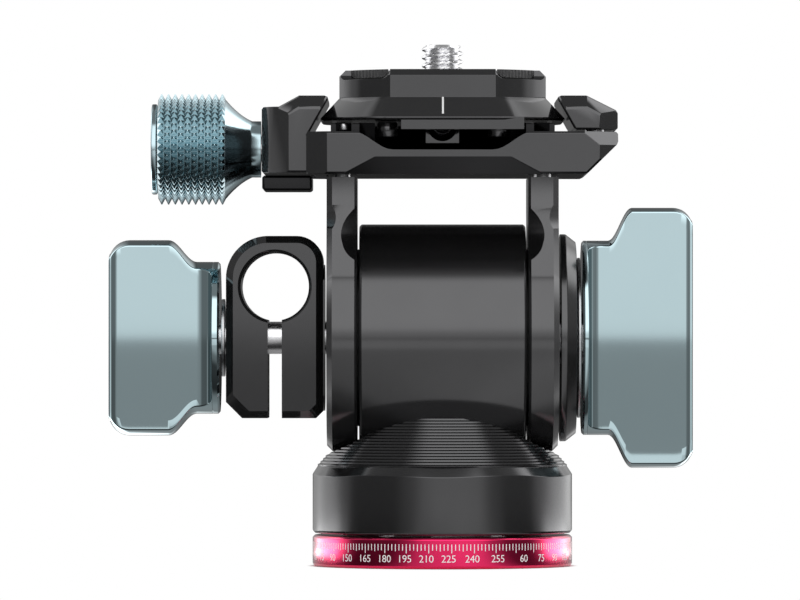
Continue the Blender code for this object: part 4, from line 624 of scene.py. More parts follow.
def scallop(name, sign, face, outward, depth, radius, rise, bite):
    """A round cutter lying across one upright corner of a stem."""
    out = Vector((sign * outward, depth, 0)).normalized()
    along = Vector((-out.y, out.x, 0))
    corner = Vector((sign * face, depth * STEM_HALF, TILT_AXIS.z + rise))
    middle = corner + out * (radius - bite * math.sqrt(0.5))
    heading = along.to_track_quat("Z", "Y").to_matrix().to_4x4()
    reach = ARM_OUTER - ARM_INNER + 2 * bite
    return rod(name, radius, -reach, reach, at(middle, heading), 96)


for side, sign in (("left", -1), ("right", 1)):
    levels = (
        (ARM_INNER, 0.42 * MM),
        (ARM_INNER + 0.42 * MM, 0.0),
        (ARM_OUTER - 0.85 * MM, 0.0),
        (ARM_OUTER, 0.85 * MM),
    )
    arm = loft(f"{side}_arm_body", [laid(arm_outline(inset), sign * level, "X") for level, inset in levels])
    cutters = []
    for end, depth in (("front", -1), ("back", 1)):
        name = f"{side}_{end}"
        cutters.append(scallop(f"{name}_inner", sign, ARM_INNER, -1, depth, 6.0 * MM, 16.9 * MM, 1.35 * MM))
        cutters.append(scallop(f"{name}_outer", sign, ARM_OUTER, 1, depth, 4.5 * MM, 19.3 * MM, 1.0 * MM))
    hole = at(TILT_AXIS, TO_X if sign > 0 else TO_MINUS_X)
    cutters.append(rod(f"{side}_recess", BARREL_BORE, ARM_INNER - MM, ARM_INNER + ARM_RECESS, hole, ROUND))
    cutters.append(rod(f"{side}_axle_hole", 4.3 * MM, ARM_INNER - MM, ARM_INNER + 2.65 * MM, hole))
    outer_hole = 4.3 * MM if sign > 0 else 2.8 * MM
    cutters.append(rod(f"{side}_outer_hole", outer_hole, ARM_INNER + 2.0 * MM, ARM_OUTER + MM, hole))
    shaped(arm, *cutters)
    dressed(arm, "tilt", satin_black, "black_anodised", f"{side}_arm", ease=0)

# %% Tilt disc and spacer washer
disc_start = ARM_OUTER + 0.3 * MM
disc_profile = [
    (14.8 * MM, disc_start + 2.5 * MM),
    (16.05 * MM, disc_start + 0.9 * MM),
    (16.05 * MM, disc_start),
    (4.3 * MM, disc_start),
    (4.3 * MM, disc_start + 2.5 * MM),
]
disc = lathe("tilt_disc_body", eased(disc_profile, 0.15 * MM, closed=True), across, ring=True)
dressed(disc, "tilt", satin_black, "black_anodised", "tilt_disc", ease=0)

# %% [markdown]
# ## Wing knobs
#
# Both locks are turned knobs with two broad flats milled on them, so that a thumb and a finger can
# turn them. Every slice across the axis is the same figure: a circle cut off by two flats, with the
# corners eased. The mesh is a stack of such slices, each with its own radius and half thickness, and
# both shrink along a quarter round at the far end.

# %% A slice through a wing knob
FLAT = 5.0 * MM
FLAT_FILLET = 2.4 * MM
END_ROUND = 1.5 * MM


def wing_slice(radius, half, ease, round_steps=26, ease_steps=5, flat_steps=10):
    """Points (across, through) round one slice; it is a whole circle where the flats do not reach."""
    quarter = []
    if half - ease < radius - ease - 1e-7:
        middle = math.sqrt((radius - ease) ** 2 - (half - ease) ** 2)
        corner = math.atan2(half - ease, middle)
    else:
        middle, corner = 0.0, math.pi / 2
        half = radius
    for i in range(round_steps):
        angle = corner * i / round_steps
        quarter.append((radius * math.cos(angle), radius * math.sin(angle)))
    for i in range(ease_steps + 1):
        angle = corner + (math.pi / 2 - corner) * i / ease_steps
        quarter.append((middle + ease * math.cos(angle), half - ease + ease * math.sin(angle)))
    for i in range(1, flat_steps):
        quarter.append((middle * (1 - i / flat_steps), half))
    mirrored = [(-a, b) for a, b in reversed(quarter[1:])]
    upper = quarter + [(0.0, half)] + mirrored + [(-radius, 0.0)]
    lower = [(a, -b) for a, b in reversed(upper[1:-1])]
    return upper + lower


def wing_levels(length, rim, hub, hub_length, flange, curve, corner):
    """(distance, radius, half thickness) from the hub's face to the far end."""
    rim_start = hub_length + curve

    def radius_at(distance):
        if distance < hub_length:
            return hub
        if distance < rim_start:
            share = (distance - hub_length) / curve
            return hub + (rim - hub) * (1 - math.cos(math.pi * share)) / 2
        if distance > length - corner:
            over = min(distance - (length - corner), corner)
            return rim - corner + math.sqrt(corner ** 2 - over ** 2)
        return rim

    def half_at(distance):
        if distance < flange + FLAT_FILLET:
            back = flange + FLAT_FILLET - distance
            return FLAT + FLAT_FILLET - math.sqrt(max(FLAT_FILLET ** 2 - back ** 2, 0.0))
        if distance > length - END_ROUND:
            over = min(distance - (length - END_ROUND), END_ROUND)
            return FLAT - END_ROUND + math.sqrt(END_ROUND ** 2 - over ** 2)
        return FLAT

    levels = [(0.0, hub - 0.3 * MM, rim), (0.3 * MM, hub, rim)]
    levels += [(flange - 0.12 * MM, hub, rim), (flange - 0.03 * MM, hub - 0.04 * MM, rim)]
    levels += [(flange, hub - 0.14 * MM, rim)]
    stops = [flange + FLAT_FILLET * (1 - math.cos(math.pi / 2 * i / 8)) for i in range(9)]
    stops += [hub_length + curve * i / 14 for i in range(15)]
    round_start = length - END_ROUND
    stops += [round_start - 0.2 * MM]
    stops += [round_start + END_ROUND * math.sin(math.pi / 2 * i / 12) for i in range(13)]
    stops += [length - corner + corner * math.sin(math.pi / 2 * i / 9) for i in range(10)]
    stops = [d for d in sorted(set(round(d, 8) for d in stops)) if d < length - 0.22 * MM]
    levels += [(distance, radius_at(distance), half_at(distance)) for distance in stops]
    last = length - 0.22 * MM
    last_radius = radius_at(last)
    last_half = half_at(last)
    for i in range(4):
        turn = math.pi / 2 * i / 3
        pull = 0.22 * MM * (1 - math.cos(turn))
        levels.append((last + 0.22 * MM * math.sin(turn), last_radius - 2.2 * pull, last_half - 0.8 * pull))
    return levels


# %% Both wing knobs
def wing_knob(name, body, node, face, sign, sizes, bore_radius, bore_depth):
    sections = []
    for distance, radius, half in wing_levels(*sizes):
        ease = 0.32 * MM
        points = wing_slice(radius, half, ease)
        x = sign * (face + distance)
        sections.append([(x, through, TILT_AXIS.z + across_it) for across_it, through in points])
    knob = loft(name, sections)
    heading = at(TILT_AXIS, TO_X if sign > 0 else TO_MINUS_X)
    shaped(knob, rod(f"{name}_bore", bore_radius, face - MM, face + bore_depth, heading))
    return dressed(knob, body, blue_grey_anodised, "blue_grey_anodised", node, ease=0)


handle_knob_sizes = (17.2 * MM, 15.13 * MM, 11.76 * MM, 3.6 * MM, 1.15 * MM, 4.4 * MM, 3.2 * MM)
tilt_knob_sizes = (17.15 * MM, 20.14 * MM, 15.05 * MM, 4.1 * MM, 0.85 * MM, 3.7 * MM, 3.0 * MM)
wing_knob("handle_wing_knob", "handle_lock", "handle_knob", 34.4 * MM, -1, handle_knob_sizes, 2.8 * MM, 9.3 * MM)
wing_knob("tilt_wing_knob", "tilt_lock", "tilt_knob", 21.55 * MM, 1, tilt_knob_sizes, 4.3 * MM, 11.3 * MM)

# %% [markdown]
# ## The handle clamp
#
# A block with a hole for the pan handle, split down to the bolt so that the wing knob can pinch it.
# Its edges carry a broad chamfer, which draws the bright frame round the block.

# %% Handle clamp
CLAMP_RIGHT = -18.4 * MM
CLAMP_LEFT = -33.4 * MM
CLAMP_LOW = 22.9 * MM
CLAMP_HIGH = 51.0 * MM
CLAMP_HALF = 8.0 * MM
HANDLE_BORE = Vector((-25.85 * MM, 0, 43.2 * MM))


def handle_outline(inset):
    """Front outline (X, Z) of the block."""
    right = CLAMP_RIGHT - inset
    left = CLAMP_LEFT + inset
    low = CLAMP_LOW + inset
    high = CLAMP_HIGH - inset
    left_round = 6.5 * MM - inset
    right_round = 4.1 * MM - inset
    outline = [(right - 1.1 * MM, low), (right, low + 1.1 * MM)]
    outline += arc((right - right_round, high - right_round), right_round, 0, 90, 14)
    outline += arc((left + left_round, high - left_round), left_round, 90, 180, 18)
    return outline + [(left, low + 2.5 * MM), (left + 2.5 * MM, low)]


edge_levels = [(CLAMP_HALF, 1.1 * MM), (CLAMP_HALF - 1.1 * MM, 0.0)]
levels = [(-depth, inset) for depth, inset in edge_levels]
levels += [(depth, inset) for depth, inset in reversed(edge_levels)]
handle = loft("handle_clamp_body", [laid(handle_outline(inset), depth, "Y") for depth, inset in levels])
boss = rod("boss", 11.3 * MM, 18.15 * MM, 18.7 * MM, at(TILT_AXIS, TO_MINUS_X), ROUND)
trim = box("trim", (-20 * MM, -6.9 * MM, 24.0 * MM), (-17 * MM, 6.9 * MM, 46.6 * MM))
shaped(boss, trim, how="INTERSECT")
shaped(handle, boss, how="UNION")
bore_profile = [
    (0, 9 * MM),
    (6.7 * MM, 9 * MM),
    (5.25 * MM, 7.55 * MM),
    (5.25 * MM, -7.55 * MM),
    (6.7 * MM, -9 * MM),
    (0, -9 * MM),
]
handle_hole = lathe("handle_hole", bore_profile, at(HANDLE_BORE, TO_Y), 128)
slot_low = (HANDLE_BORE.x - 1.075 * MM, -9 * MM, CLAMP_LOW - MM)
slot_high = (HANDLE_BORE.x + 1.075 * MM, 9 * MM, HANDLE_BORE.z)
bolt_hole = rod("bolt_hole", 2.8 * MM, 16 * MM, 35 * MM, at(TILT_AXIS, TO_MINUS_X))
shaped(handle, handle_hole, box("slot", slot_low, slot_high), bolt_hole)
dressed(handle, "handle", black_anodised, "black_anodised", "handle_clamp", ease=0.14 * MM)

# %% [markdown]
# ## Bolt, washers and bare metal
#
# Bare steel and bronze keep the fine turning marks of the lathe. A noise squeezed along one axis makes
# the marks, and it only changes roughness and bump, because the colour of the metal is even.

# %% Bare metals, rubber and polymer
def bare_metal(name, colour, roughness, squeeze=(1.0, 1.0, 8.0)):
    """Turned or polished metal with fine marks across one axis."""
    material = bpy.data.materials.new(name)
    material.use_nodes = True
    tree = material.node_tree
    shader = tree.nodes["Principled BSDF"]
    place = add_node(tree, "ShaderNodeTexCoord").outputs["Object"]
    stretched = add_node(tree, "ShaderNodeMapping", {"Vector": place})
    stretched.inputs["Scale"].default_value = squeeze
    marks = add_node(
        tree, "ShaderNodeTexNoise", {"Vector": stretched.outputs[0], "Scale": 1 / (0.8 * MM), "Detail": 3.0}
    )
    gloss = add_node(
        tree,
        "ShaderNodeMapRange",
        {"Value": marks.outputs["Fac"], "To Min": roughness - 0.05, "To Max": roughness + 0.05},
    )
    height = add_node(
        tree, "ShaderNodeBump", {"Height": marks.outputs["Fac"], "Strength": 0.08, "Distance": 0.01 * MM}
    )
    shader.inputs["Base Color"].default_value = linear(colour)
    shader.inputs["Metallic"].default_value = 1.0
    tree.links.new(gloss.outputs[0], shader.inputs["Roughness"])
    tree.links.new(height.outputs[0], shader.inputs["Normal"])
    return material


polished_steel = bare_metal("polished_steel", "ececee", 0.26)
turned_steel = bare_metal("turned_steel", "c2c2c4", 0.28, (8.0, 1.0, 1.0))
bronze = bare_metal("sintered_bronze", "b98b4e", 0.38)
black_polymer = flat_paint("black_polymer", "1c1c1d", 0.5)
polymer = flat_paint("natural_polymer", "cfcabd", 0.5)
print("Bare finishes:", polished_steel.name, turned_steel.name, bronze.name, black_polymer.name, polymer.name)

# %% Bolt and washers
left_across = at(TILT_AXIS, TO_MINUS_X)


def washer(name, body, node, outer, inner, start, end, place):
    profile = [(outer, end), (outer, start), (inner, start), (inner, end)]
    piece = lathe(name, eased(profile, 0.08 * MM, closed=True), place, 128, ring=True)
    return dressed(piece, body, turned_steel, "bright_steel", node, ease=0)


washer("handle_washer_body", "handle_lock", "handle_washer", 6 * MM, 2.8 * MM, 33.65 * MM, 34.15 * MM, left_across)
washer("knob_spacer_body", "tilt_lock", "knob_spacer", 12.4 * MM, 4.3 * MM, 20.9 * MM, 21.3 * MM, across)
bolt_profile = [(0, 43.4 * MM), (2.5 * MM, 43.4 * MM), (2.5 * MM, 16.25 * MM), (0, 16.25 * MM)]
bolt = lathe("handle_bolt_body", eased(bolt_profile, 0.3 * MM), left_across, 96)
dressed(bolt, "handle_lock", polished_steel, "bright_steel", "handle_bolt", ease=0)

for side, place in (("left", left_across), ("right", across)):
    bush_profile = [(13.7 * MM, 13.45 * MM), (13.7 * MM, 8.55 * MM), (4.3 * MM, 8.55 * MM), (4.3 * MM, 13.45 * MM)]
    bush = lathe(f"tilt_bush_body_{side}", eased(bush_profile, 0.1 * MM, closed=True), place, ring=True)
    dressed(bush, "pan", black_polymer, "black_polymer", f"tilt_bush_{side}", ease=0)

# %% [markdown]
# ## The clamp
#
# The clamp base, both jaws and the jaw guide are flat milled blocks. Their imported meshes have every
# face in place, so a merged copy with eased edges is enough. The base's leaning front faces and the
# guide take a darker black that is painted shade. Two low steps beside the rails close the gap under
# the plate; they are a guess, and their darker black is painted shade too.

# %% Clamp base, jaws, guide
STEP_LOW = 66.6 * MM
STEP_HIGH = 68.2 * MM
STEP_INNER = 12.6 * MM
STEP_OUTER = 17.2 * MM
STEP_HALF = 12 * MM
for node, body in (("clamp_base", "tilt"), ("fixed_jaw", "tilt"), ("sliding_jaw", "jaw"), ("jaw_guide", "jaw")):
    block = cad_copy(node, f"{node}_body")
    # The jaw guide takes the darker black, which is painted shade.
    finish = shade_painted_black if node == "jaw_guide" else black_anodised
    dressed(block, body, finish, "black_anodised", node, ease=0.12 * MM, rings=3, sharp=math.radians(24))
    # The clamp base's faces that face forward and lean down under the plate take the darker black as painted shade.
    if node == "clamp_base":
        block.data.materials.append(shade_painted_black)
        for face in block.data.polygons:
            face.material_index = int(face.normal.y < -0.5 and face.normal.z < -0.12)
for side in (-1, 1):
    low_x, high_x = sorted((side * STEP_INNER, side * STEP_OUTER))
    name = "rail_step_left" if side < 0 else "rail_step_right"
    step = box(name, (low_x, -STEP_HALF, STEP_LOW), (high_x, STEP_HALF, STEP_HIGH))
    # The steps take the darker black, painted shade for the gap under the plate.
    dressed(step, "tilt", shade_painted_black, "black_anodised", ease=0.1 * MM)

# %% Guide pins, safety pin and clamp screw
JAW_AXIS = Vector((0, 0, 64.5 * MM))
for i, side in enumerate((-1, 1)):
    spot = at((0, side * 11.5 * MM, 63.5 * MM), TO_MINUS_X)
    pin = rod(f"guide_pin_body_{i + 1}", 1.5 * MM, 12.2 * MM, 24.8 * MM, spot, 48)
    dressed(pin, "jaw", turned_steel, "bright_steel", f"guide_pin_{i + 1}", ease=0.15 * MM)
pin = rod("safety_pin_body", 0.65 * MM, 67.1 * MM, 68.1 * MM, at((-15.2 * MM, -14.4 * MM, 0)), 32)
dressed(pin, "tilt", turned_steel, "bright_steel", "safety_pin", ease=0.12 * MM)

# %% [markdown]
# ## The knurled jaw knob
#
# A form roll pressed rows of small square pyramids into the drum. A Geometry Nodes tree places one
# pyramid for each count round and each row along. The drum under it ends in a hollow cone and a neck.

# %% A tree for the knurl
knurl_sizes = [("Around", WHOLE), ("Rows", WHOLE), ("Valley", FLOAT), ("Crest", FLOAT), ("Pitch", FLOAT)]
knurl, entry = group_tree("knurl", knurl_sizes + [("Start", FLOAT)])
around = entry.outputs["Around"]
valley = entry.outputs["Valley"]
total = maths(knurl, "MULTIPLY", around, entry.outputs["Rows"])
spots = add_node(knurl, "GeometryNodePoints", {"Count": total})
number = add_node(knurl, "GeometryNodeInputIndex").outputs[0]
row = maths(knurl, "FLOOR", maths(knurl, "DIVIDE", number, around))
half_steps = maths(knurl, "ADD", maths(knurl, "MULTIPLY", row, 0.5), number)
angle = maths(knurl, "DIVIDE", maths(knurl, "MULTIPLY", half_steps, math.tau), around)
along = maths(
    knurl, "MULTIPLY_ADD", maths(knurl, "ADD", row, 0.5), entry.outputs["Pitch"], entry.outputs["Start"]
)
spot = add_node(
    knurl,
    "ShaderNodeCombineXYZ",
    {
        "X": maths(knurl, "MULTIPLY", maths(knurl, "COSINE", angle), valley),
        "Y": maths(knurl, "MULTIPLY", maths(knurl, "SINE", angle), valley),
        "Z": along,
    },
).outputs[0]
placed = add_node(knurl, "GeometryNodeSetPosition", {"Geometry": spots.outputs[0], "Position": spot})
girth = maths(knurl, "DIVIDE", maths(knurl, "MULTIPLY", valley, math.tau), around)
rise = maths(knurl, "SUBTRACT", entry.outputs["Crest"], valley)
pyramid = add_node(
    knurl,
    "GeometryNodeMeshCone",
    {"Vertices": 4, "Radius Top": 0.09, "Radius Bottom": math.sqrt(0.5), "Depth": 1.0},
)
pyramid_size = add_node(knurl, "ShaderNodeCombineXYZ", {"X": entry.outputs["Pitch"], "Y": girth, "Z": rise})
squared = add_node(
    knurl, "GeometryNodeTransform", {"Geometry": pyramid.outputs[0], "Rotation": (0.0, 0.0, math.pi / 4)}
)
sized = add_node(
    knurl, "GeometryNodeTransform", {"Geometry": squared.outputs[0], "Scale": pyramid_size.outputs[0]}
)
heading = add_node(knurl, "ShaderNodeCombineXYZ", {"Y": math.pi / 2, "Z": angle}).outputs[0]
spread = add_node(
    knurl,
    "GeometryNodeInstanceOnPoints",
    {"Points": placed.outputs[0], "Instance": sized.outputs[0], "Rotation": heading},
)
solid = add_node(knurl, "GeometryNodeRealizeInstances", {"Geometry": spread.outputs[0]})
coated = add_node(knurl, "GeometryNodeSetMaterial", {"Geometry": solid.outputs[0], "Material": blue_grey_anodised})
add_node(knurl, "NodeGroupOutput", {"Geometry": coated.outputs[0]})
print("Knurl tree:", len(knurl.nodes), "nodes")

# %% Jaw knob and cap
KNOB_START = 28.1 * MM
NECK = 4.36 * MM
NECK_END = KNOB_START + 1.35 * MM
CONE_END = NECK_END + 4.1 * MM
VALLEY = 7.69 * MM
KNURL_PITCH = 1.045 * MM
KNURL_ROWS = 10
KNURL_AROUND = 48
DRUM_END = CONE_END + KNURL_ROWS * KNURL_PITCH
jaw_across = at(JAW_AXIS, TO_MINUS_X)

cone = []
for i in range(13):
    share = i / 12
    cone.append((NECK + 1.73 * MM * share + 1.60 * MM * share ** 2, NECK_END + 4.1 * MM * share))
knob_profile = [(0, DRUM_END), (VALLEY, DRUM_END)] + list(reversed(cone)) + [(NECK, KNOB_START), (0, KNOB_START)]
drum = lathe("jaw_knob_drum", knob_profile, jaw_across)
shaped(drum, rod("drum_bore", 2.3 * MM, KNOB_START - MM, CONE_END + 0.3 * MM, jaw_across))
dressed(drum, "jaw_turn", rolled_blue_grey, "blue_grey_anodised", "jaw_knob", ease=0)
knurl_values = {
    "Around": KNURL_AROUND,
    "Rows": KNURL_ROWS,
    "Valley": VALLEY - 0.03 * MM,
    "Crest": 8.56 * MM,
    "Pitch": KNURL_PITCH,
    "Start": CONE_END,
}
pyramids = grown("jaw_knob_knurl", knurl, knurl_values, rolled_blue_grey)
pyramids.data.transform(jaw_across)
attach(pyramids, "jaw_turn")
print("Pyramids on the knob:", KNURL_AROUND * KNURL_ROWS)
cap_profile = [(0, 45 * MM), (7 * MM, 45 * MM), (7 * MM, 44.15 * MM), (0, 44.15 * MM)]
cap = lathe("jaw_knob_cap_body", eased(cap_profile, 0.25 * MM), jaw_across)
dressed(cap, "jaw_turn", rolled_blue_grey, "blue_grey_anodised", "jaw_knob_cap", ease=0)

# %% [markdown]
# ## The quick-release plate
#
# The plate is a rounded square. Its foot flares out into the dovetail that the jaws grip, and each
# corner of its top is milled away with a ball-nosed cutter and takes a rubber pad. A white line on the
# front slope marks its middle.

# %% Quick-release plate
PLATE_FOOT = 68.6 * MM
PLATE_EDGE = 69.05 * MM
PLATE_SHOULDER = 72.15 * MM
PLATE_TOP = 76.45 * MM
PLATE_CORNERS = (("front_left", -1, -1), ("front_right", 1, -1), ("back_left", -1, 1), ("back_right", 1, 1))


def rounded_square(half, corner, height, steps=14):
    inner = half - corner
    points = []
    for i, (x, y) in enumerate(((1, 1), (-1, 1), (-1, -1), (1, -1))):
        points += arc((x * inner, y * inner), corner, 90 * i, 90 * (i + 1), steps)
    return [(x, y, height) for x, y in points]


def ringed_square(half, flat, height, steps=14):
    """A square whose corners lie on a circle round its middle, so its flats end in a crease."""
    start = math.degrees(math.atan2(flat, half))
    points = []
    for i in range(4):
        points += arc((0, 0), math.hypot(half, flat), 90 * i + start, 90 * (i + 1) - start, steps)
    return [(x, y, height) for x, y in points]


def corner_room(name, x, y, shrink):
    """A block with rounded edges that empties a corner of the plate, or fills it when shrunk."""
    near = 8.1 * MM + shrink
    far = 18.3 * MM
    low = (min(x * near, x * far), min(y * near, y * far), 74.95 * MM + shrink)
    high = (max(x * near, x * far), max(y * near, y * far), 78.85 * MM)
    room = box(name, low, high)
    bevel = room.modifiers.new("fillets", "BEVEL")
    bevel.width = 1.4 * MM - shrink
    bevel.segments = 7
    bevel.limit_method = "ANGLE"
    return settle(room)


plate_levels = (
    (18.55 * MM, 10.2 * MM, PLATE_FOOT),
    (18.8 * MM, 10.2 * MM, PLATE_FOOT + 0.25 * MM),
    (18.8 * MM, 10.2 * MM, PLATE_EDGE),
)
body_levels = (
    (15.9 * MM, 8.05 * MM, PLATE_SHOULDER),
    (15.9 * MM, 8.05 * MM, PLATE_TOP - 0.95 * MM),
    (14.95 * MM, 8.05 * MM, PLATE_TOP),
)
plate_sections = [rounded_square(*level) for level in plate_levels]
plate_sections += [ringed_square(*level) for level in body_levels]
plate = loft("quick_plate_body", plate_sections)
shaped(plate, *[corner_room(f"recess_{corner}", x, y, 0.0) for corner, x, y in PLATE_CORNERS])
key = box("plate_key", (-6.4 * MM, -18.5 * MM, 67.15 * MM), (12.4 * MM, -15.5 * MM, PLATE_EDGE))
shaped(plate, key, how="UNION")
screw_hole = lathe(
    "screw_hole",
    [
        (0, 78 * MM),
        (3.475 * MM, 78 * MM),
        (3.475 * MM, 71.2 * MM),
        (5.6 * MM, 71.2 * MM),
        (5.6 * MM, 67 * MM),
        (0, 67 * MM),
    ],
    steps=96,
)
shaped(plate, screw_hole)
dressed(plate, "plate", black_anodised, "black_anodised", "quick_plate", ease=0.09 * MM, sharp=math.radians(20))

# %% Index line
slope = Vector((0, 15.9 - 18.8, 72.15 - 69.05)).normalized()
lift = Vector((0, -slope.z, slope.y)) * 0.015 * MM
top_end = Vector((0, -15.9 * MM, PLATE_SHOULDER)) - lift
foot_end = Vector((0, -18.35 * MM, 69.53 * MM)) - lift
corners = []
for end in (top_end, foot_end):
    corners.append([end + Vector((side * 0.14 * MM, 0, 0)) + lift * k for side, k in ((-1, 0), (1, 0), (1, 2), (-1, 2))])
index_line = loft("plate_index_line", corners)
index_line.data.materials.append(scale_white)
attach(index_line, "plate")

# %% [markdown]
# The pads are moulded rubber with fine straight ribs that grip a camera's base. The ribs are half a
# millimetre apart, so a bump does for them: a wave in the height, square enough to hold a shadow.

# %% Ribbed rubber and pads
ribbed_rubber = flat_paint("ribbed_black_rubber", "303031", 0.6)
tree = ribbed_rubber.node_tree
place = add_node(tree, "ShaderNodeTexCoord").outputs["Object"]
ribs = add_node(
    tree,
    "ShaderNodeTexWave",
    {"Vector": place, "Scale": 1 / (0.5 * MM * 3.2), "Distortion": 0.0},
    bands_direction="X",
)
raised = add_node(
    tree, "ShaderNodeBump", {"Height": ribs.outputs["Fac"], "Strength": 0.9, "Distance": 0.2 * MM}
)
tree.links.new(raised.outputs[0], tree.nodes["Principled BSDF"].inputs["Normal"])

for corner, x, y in PLATE_CORNERS:
    pad = rod(f"rubber_pad_body_{corner}", 16.4 * MM, 75.0 * MM, PLATE_TOP, steps=240)
    shaped(pad, corner_room(f"pad_room_{corner}", x, y, 0.25 * MM), how="INTERSECT")
    dressed(pad, "plate", ribbed_rubber, "pad_rubber", f"rubber_pad_{corner}", ease=0)

# %% Stops and cradle
for i, (x, y) in enumerate(((-8.5, -12.6), (-8.5, 12.6), (8.5, -12.6), (8.5, 12.6))):
    stop = rod(f"plate_stop_body_{i + 1}", 1.55 * MM, 66.05 * MM, 68.35 * MM, at((x * MM, y * MM, 0)), 48)
    dressed(stop, "plate", black_anodised, "black_anodised", f"plate_stop_{i + 1}", ease=0.15 * MM)
cradle = box("screw_cradle_body", (-2.6 * MM, -2.6 * MM, 65.4 * MM), (2.6 * MM, 2.6 * MM, 68.35 * MM))
hollow = [(-2.25 * MM, 70 * MM)] + arc((0, 68.0 * MM), 2.25 * MM, 180, 360, 32) + [(2.25 * MM, 70 * MM)]
shaped(cradle, pulled("cradle_hollow", hollow, -4 * MM, 4 * MM))
dressed(cradle, "plate", black_anodised, "black_anodised", "screw_cradle", ease=0.05 * MM)

# %% [markdown]
# ## Threads
#
# A thread is a helix: at every place on it the depth depends only on how far round and how far along
# it is. So a grid of points round an axis, each moved in or out by that rule, is a true thread. The
# camera screw is a quarter-inch screw with twenty threads to the inch, and the insert below takes a
# three-eighths screw with sixteen.

# %% Camera screw
INCH = 25.4 * MM


def thread_depth(angle, height, pitch, flat_share=0.2):
    """0 at the crest and 1 at the root, with a flat at each."""
    phase = (height / pitch - angle / math.tau) % 1.0
    slope = abs(2 * phase - 1)
    return min(max((slope - flat_share) / (1 - 2 * flat_share), 0.0), 1.0)


def thread_ring(radius_at, height, columns=144):
    turns = [math.tau * i / columns for i in range(columns)]
    return [(radius_at(a, height) * math.cos(a), radius_at(a, height) * math.sin(a), height) for a in turns]


SCREW_TOP = 80.65 * MM
SCREW_RADIUS = 3.175 * MM
COARSE = INCH / 20


def screw_radius(angle, height):
    fade = min((height - 71.6 * MM) / (0.7 * MM), 1.0)
    depth = 0.62 * MM * thread_depth(angle, height, COARSE, 0.27) * max(fade, 0.0)
    lead = SCREW_RADIUS - 0.9 * max(height - (SCREW_TOP - 0.6 * MM), 0.0)
    return min(SCREW_RADIUS - depth, lead)


def plain_ring(radius, height):
    return thread_ring(lambda angle, level: radius, height)


dome = 1.95 * MM
rows = [plain_ring(0.12 * MM, 66.3 * MM)]
for i in range(1, 11):
    turn = math.pi / 2 * i / 10
    rows.append(plain_ring(dome * math.sin(turn), 66.3 * MM + dome * (1 - math.cos(turn))))
rows += [plain_ring(dome, 68.9 * MM), plain_ring(5.3 * MM, 68.9 * MM)]
rows += [plain_ring(5.3 * MM, 70.9 * MM), plain_ring(SCREW_RADIUS, 70.9 * MM)]
height = 71.4 * MM
while height < SCREW_TOP - 0.01 * MM:
    rows.append(thread_ring(screw_radius, height))
    height += COARSE / 18
rows.append(thread_ring(screw_radius, SCREW_TOP))
camera_screw = loft("camera_screw_body", rows)
dressed(camera_screw, "screw", polished_steel, "bright_steel", "camera_screw", ease=0)

# %% Threaded insert
COARSE_INSERT = INCH / 16


def insert_radius(angle, height):
    mouth = max(0.6 * MM - height, 0.0) * 0.8
    return min(4.6 * MM + 0.62 * MM * (1 - thread_depth(angle, height, COARSE_INSERT)) + mouth, 5.3 * MM)


steps = 70
rows = [thread_ring(insert_radius, 6 * MM * i / steps) for i in range(steps + 1)]
rows += [plain_ring(5.52 * MM, 6 * MM), plain_ring(5.6 * MM, 5.9 * MM)]
rows += [plain_ring(5.6 * MM, 0.1 * MM), plain_ring(5.52 * MM, 0.0)]
insert = loft("thread_insert_body", rows, ring=True)
dressed(insert, "base", turned_steel, "bright_steel", "thread_insert", ease=0)

# %% [markdown]
# ## The underside and the screws
#
# A disc closes the base and is held by three countersunk screws. The same tree that sets copies of a
# screw on points serves the four screws in the clamp base and the two in the fixed jaw.

# %% Mounting disc
SCREW_CIRCLE = 7.907 * MM
base_screw_places = []
for i in range(3):
    turn = math.tau * i / 3 + math.pi / 2
    base_screw_places.append((SCREW_CIRCLE * math.cos(turn), SCREW_CIRCLE * math.sin(turn), 0.0))
disc_edges = [(15.3 * MM, 3 * MM), (15.3 * MM, 0), (5.9 * MM, 0), (5.9 * MM, 3 * MM)]
mount_disc = lathe("mount_disc_body", eased(disc_edges, 0.3 * MM, closed=True), ring=True)
sinks = []
for i, place in enumerate(base_screw_places):
    sink = [(0, 4 * MM), (1.3 * MM, 4 * MM), (1.3 * MM, 1.3 * MM), (2.35 * MM, 0.1 * MM), (2.35 * MM, -MM), (0, -MM)]
    sinks.append(lathe(f"sink_{i + 1}", sink, at(place), 64))
shaped(mount_disc, *sinks)
dressed(mount_disc, "base", black_anodised, "black_anodised", "mount_disc", ease=0)

# %% A tree that sets copies on points
copies, entry = group_tree("copies_on_points", [("Shape", "NodeSocketObject")])
shape_info = add_node(copies, "GeometryNodeObjectInfo", {"Object": entry.outputs["Shape"]})
spread = add_node(
    copies,
    "GeometryNodeInstanceOnPoints",
    {"Points": entry.outputs["Geometry"], "Instance": shape_info.outputs["Geometry"]},
)
solid = add_node(copies, "GeometryNodeRealizeInstances", {"Geometry": spread.outputs[0]})
coated = add_node(copies, "GeometryNodeSetMaterial", {"Geometry": solid.outputs[0], "Material": turned_steel})
add_node(copies, "NodeGroupOutput", {"Geometry": coated.outputs[0]})


def hexagon(name, radius, low, high):
    return rod(name, radius, low, high, steps=6)


def screw_set(name, body, profile, socket, places, nodes):
    """One turned and socketed screw, copied to each place."""
    shape = lathe(f"{name}_shape", eased(profile, 0.1 * MM), steps=48)
    shaped(shape, socket)
    shape.data.set_sharp_from_angle(angle=SHARP)
    made = grown(name, copies, {"Shape": shape}, turned_steel, places)
    bpy.data.objects.remove(shape)
    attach(made, body)
    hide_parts(*nodes)
    print(name, "copies:", len(places))
    return made


def cap_screw_profile(top, length):
    under = top - 1.6 * MM
    foot = under - length
    return [(0, top), (2.1 * MM, top), (2.1 * MM, under), (1.2 * MM, under), (1.2 * MM, foot), (0, foot)]


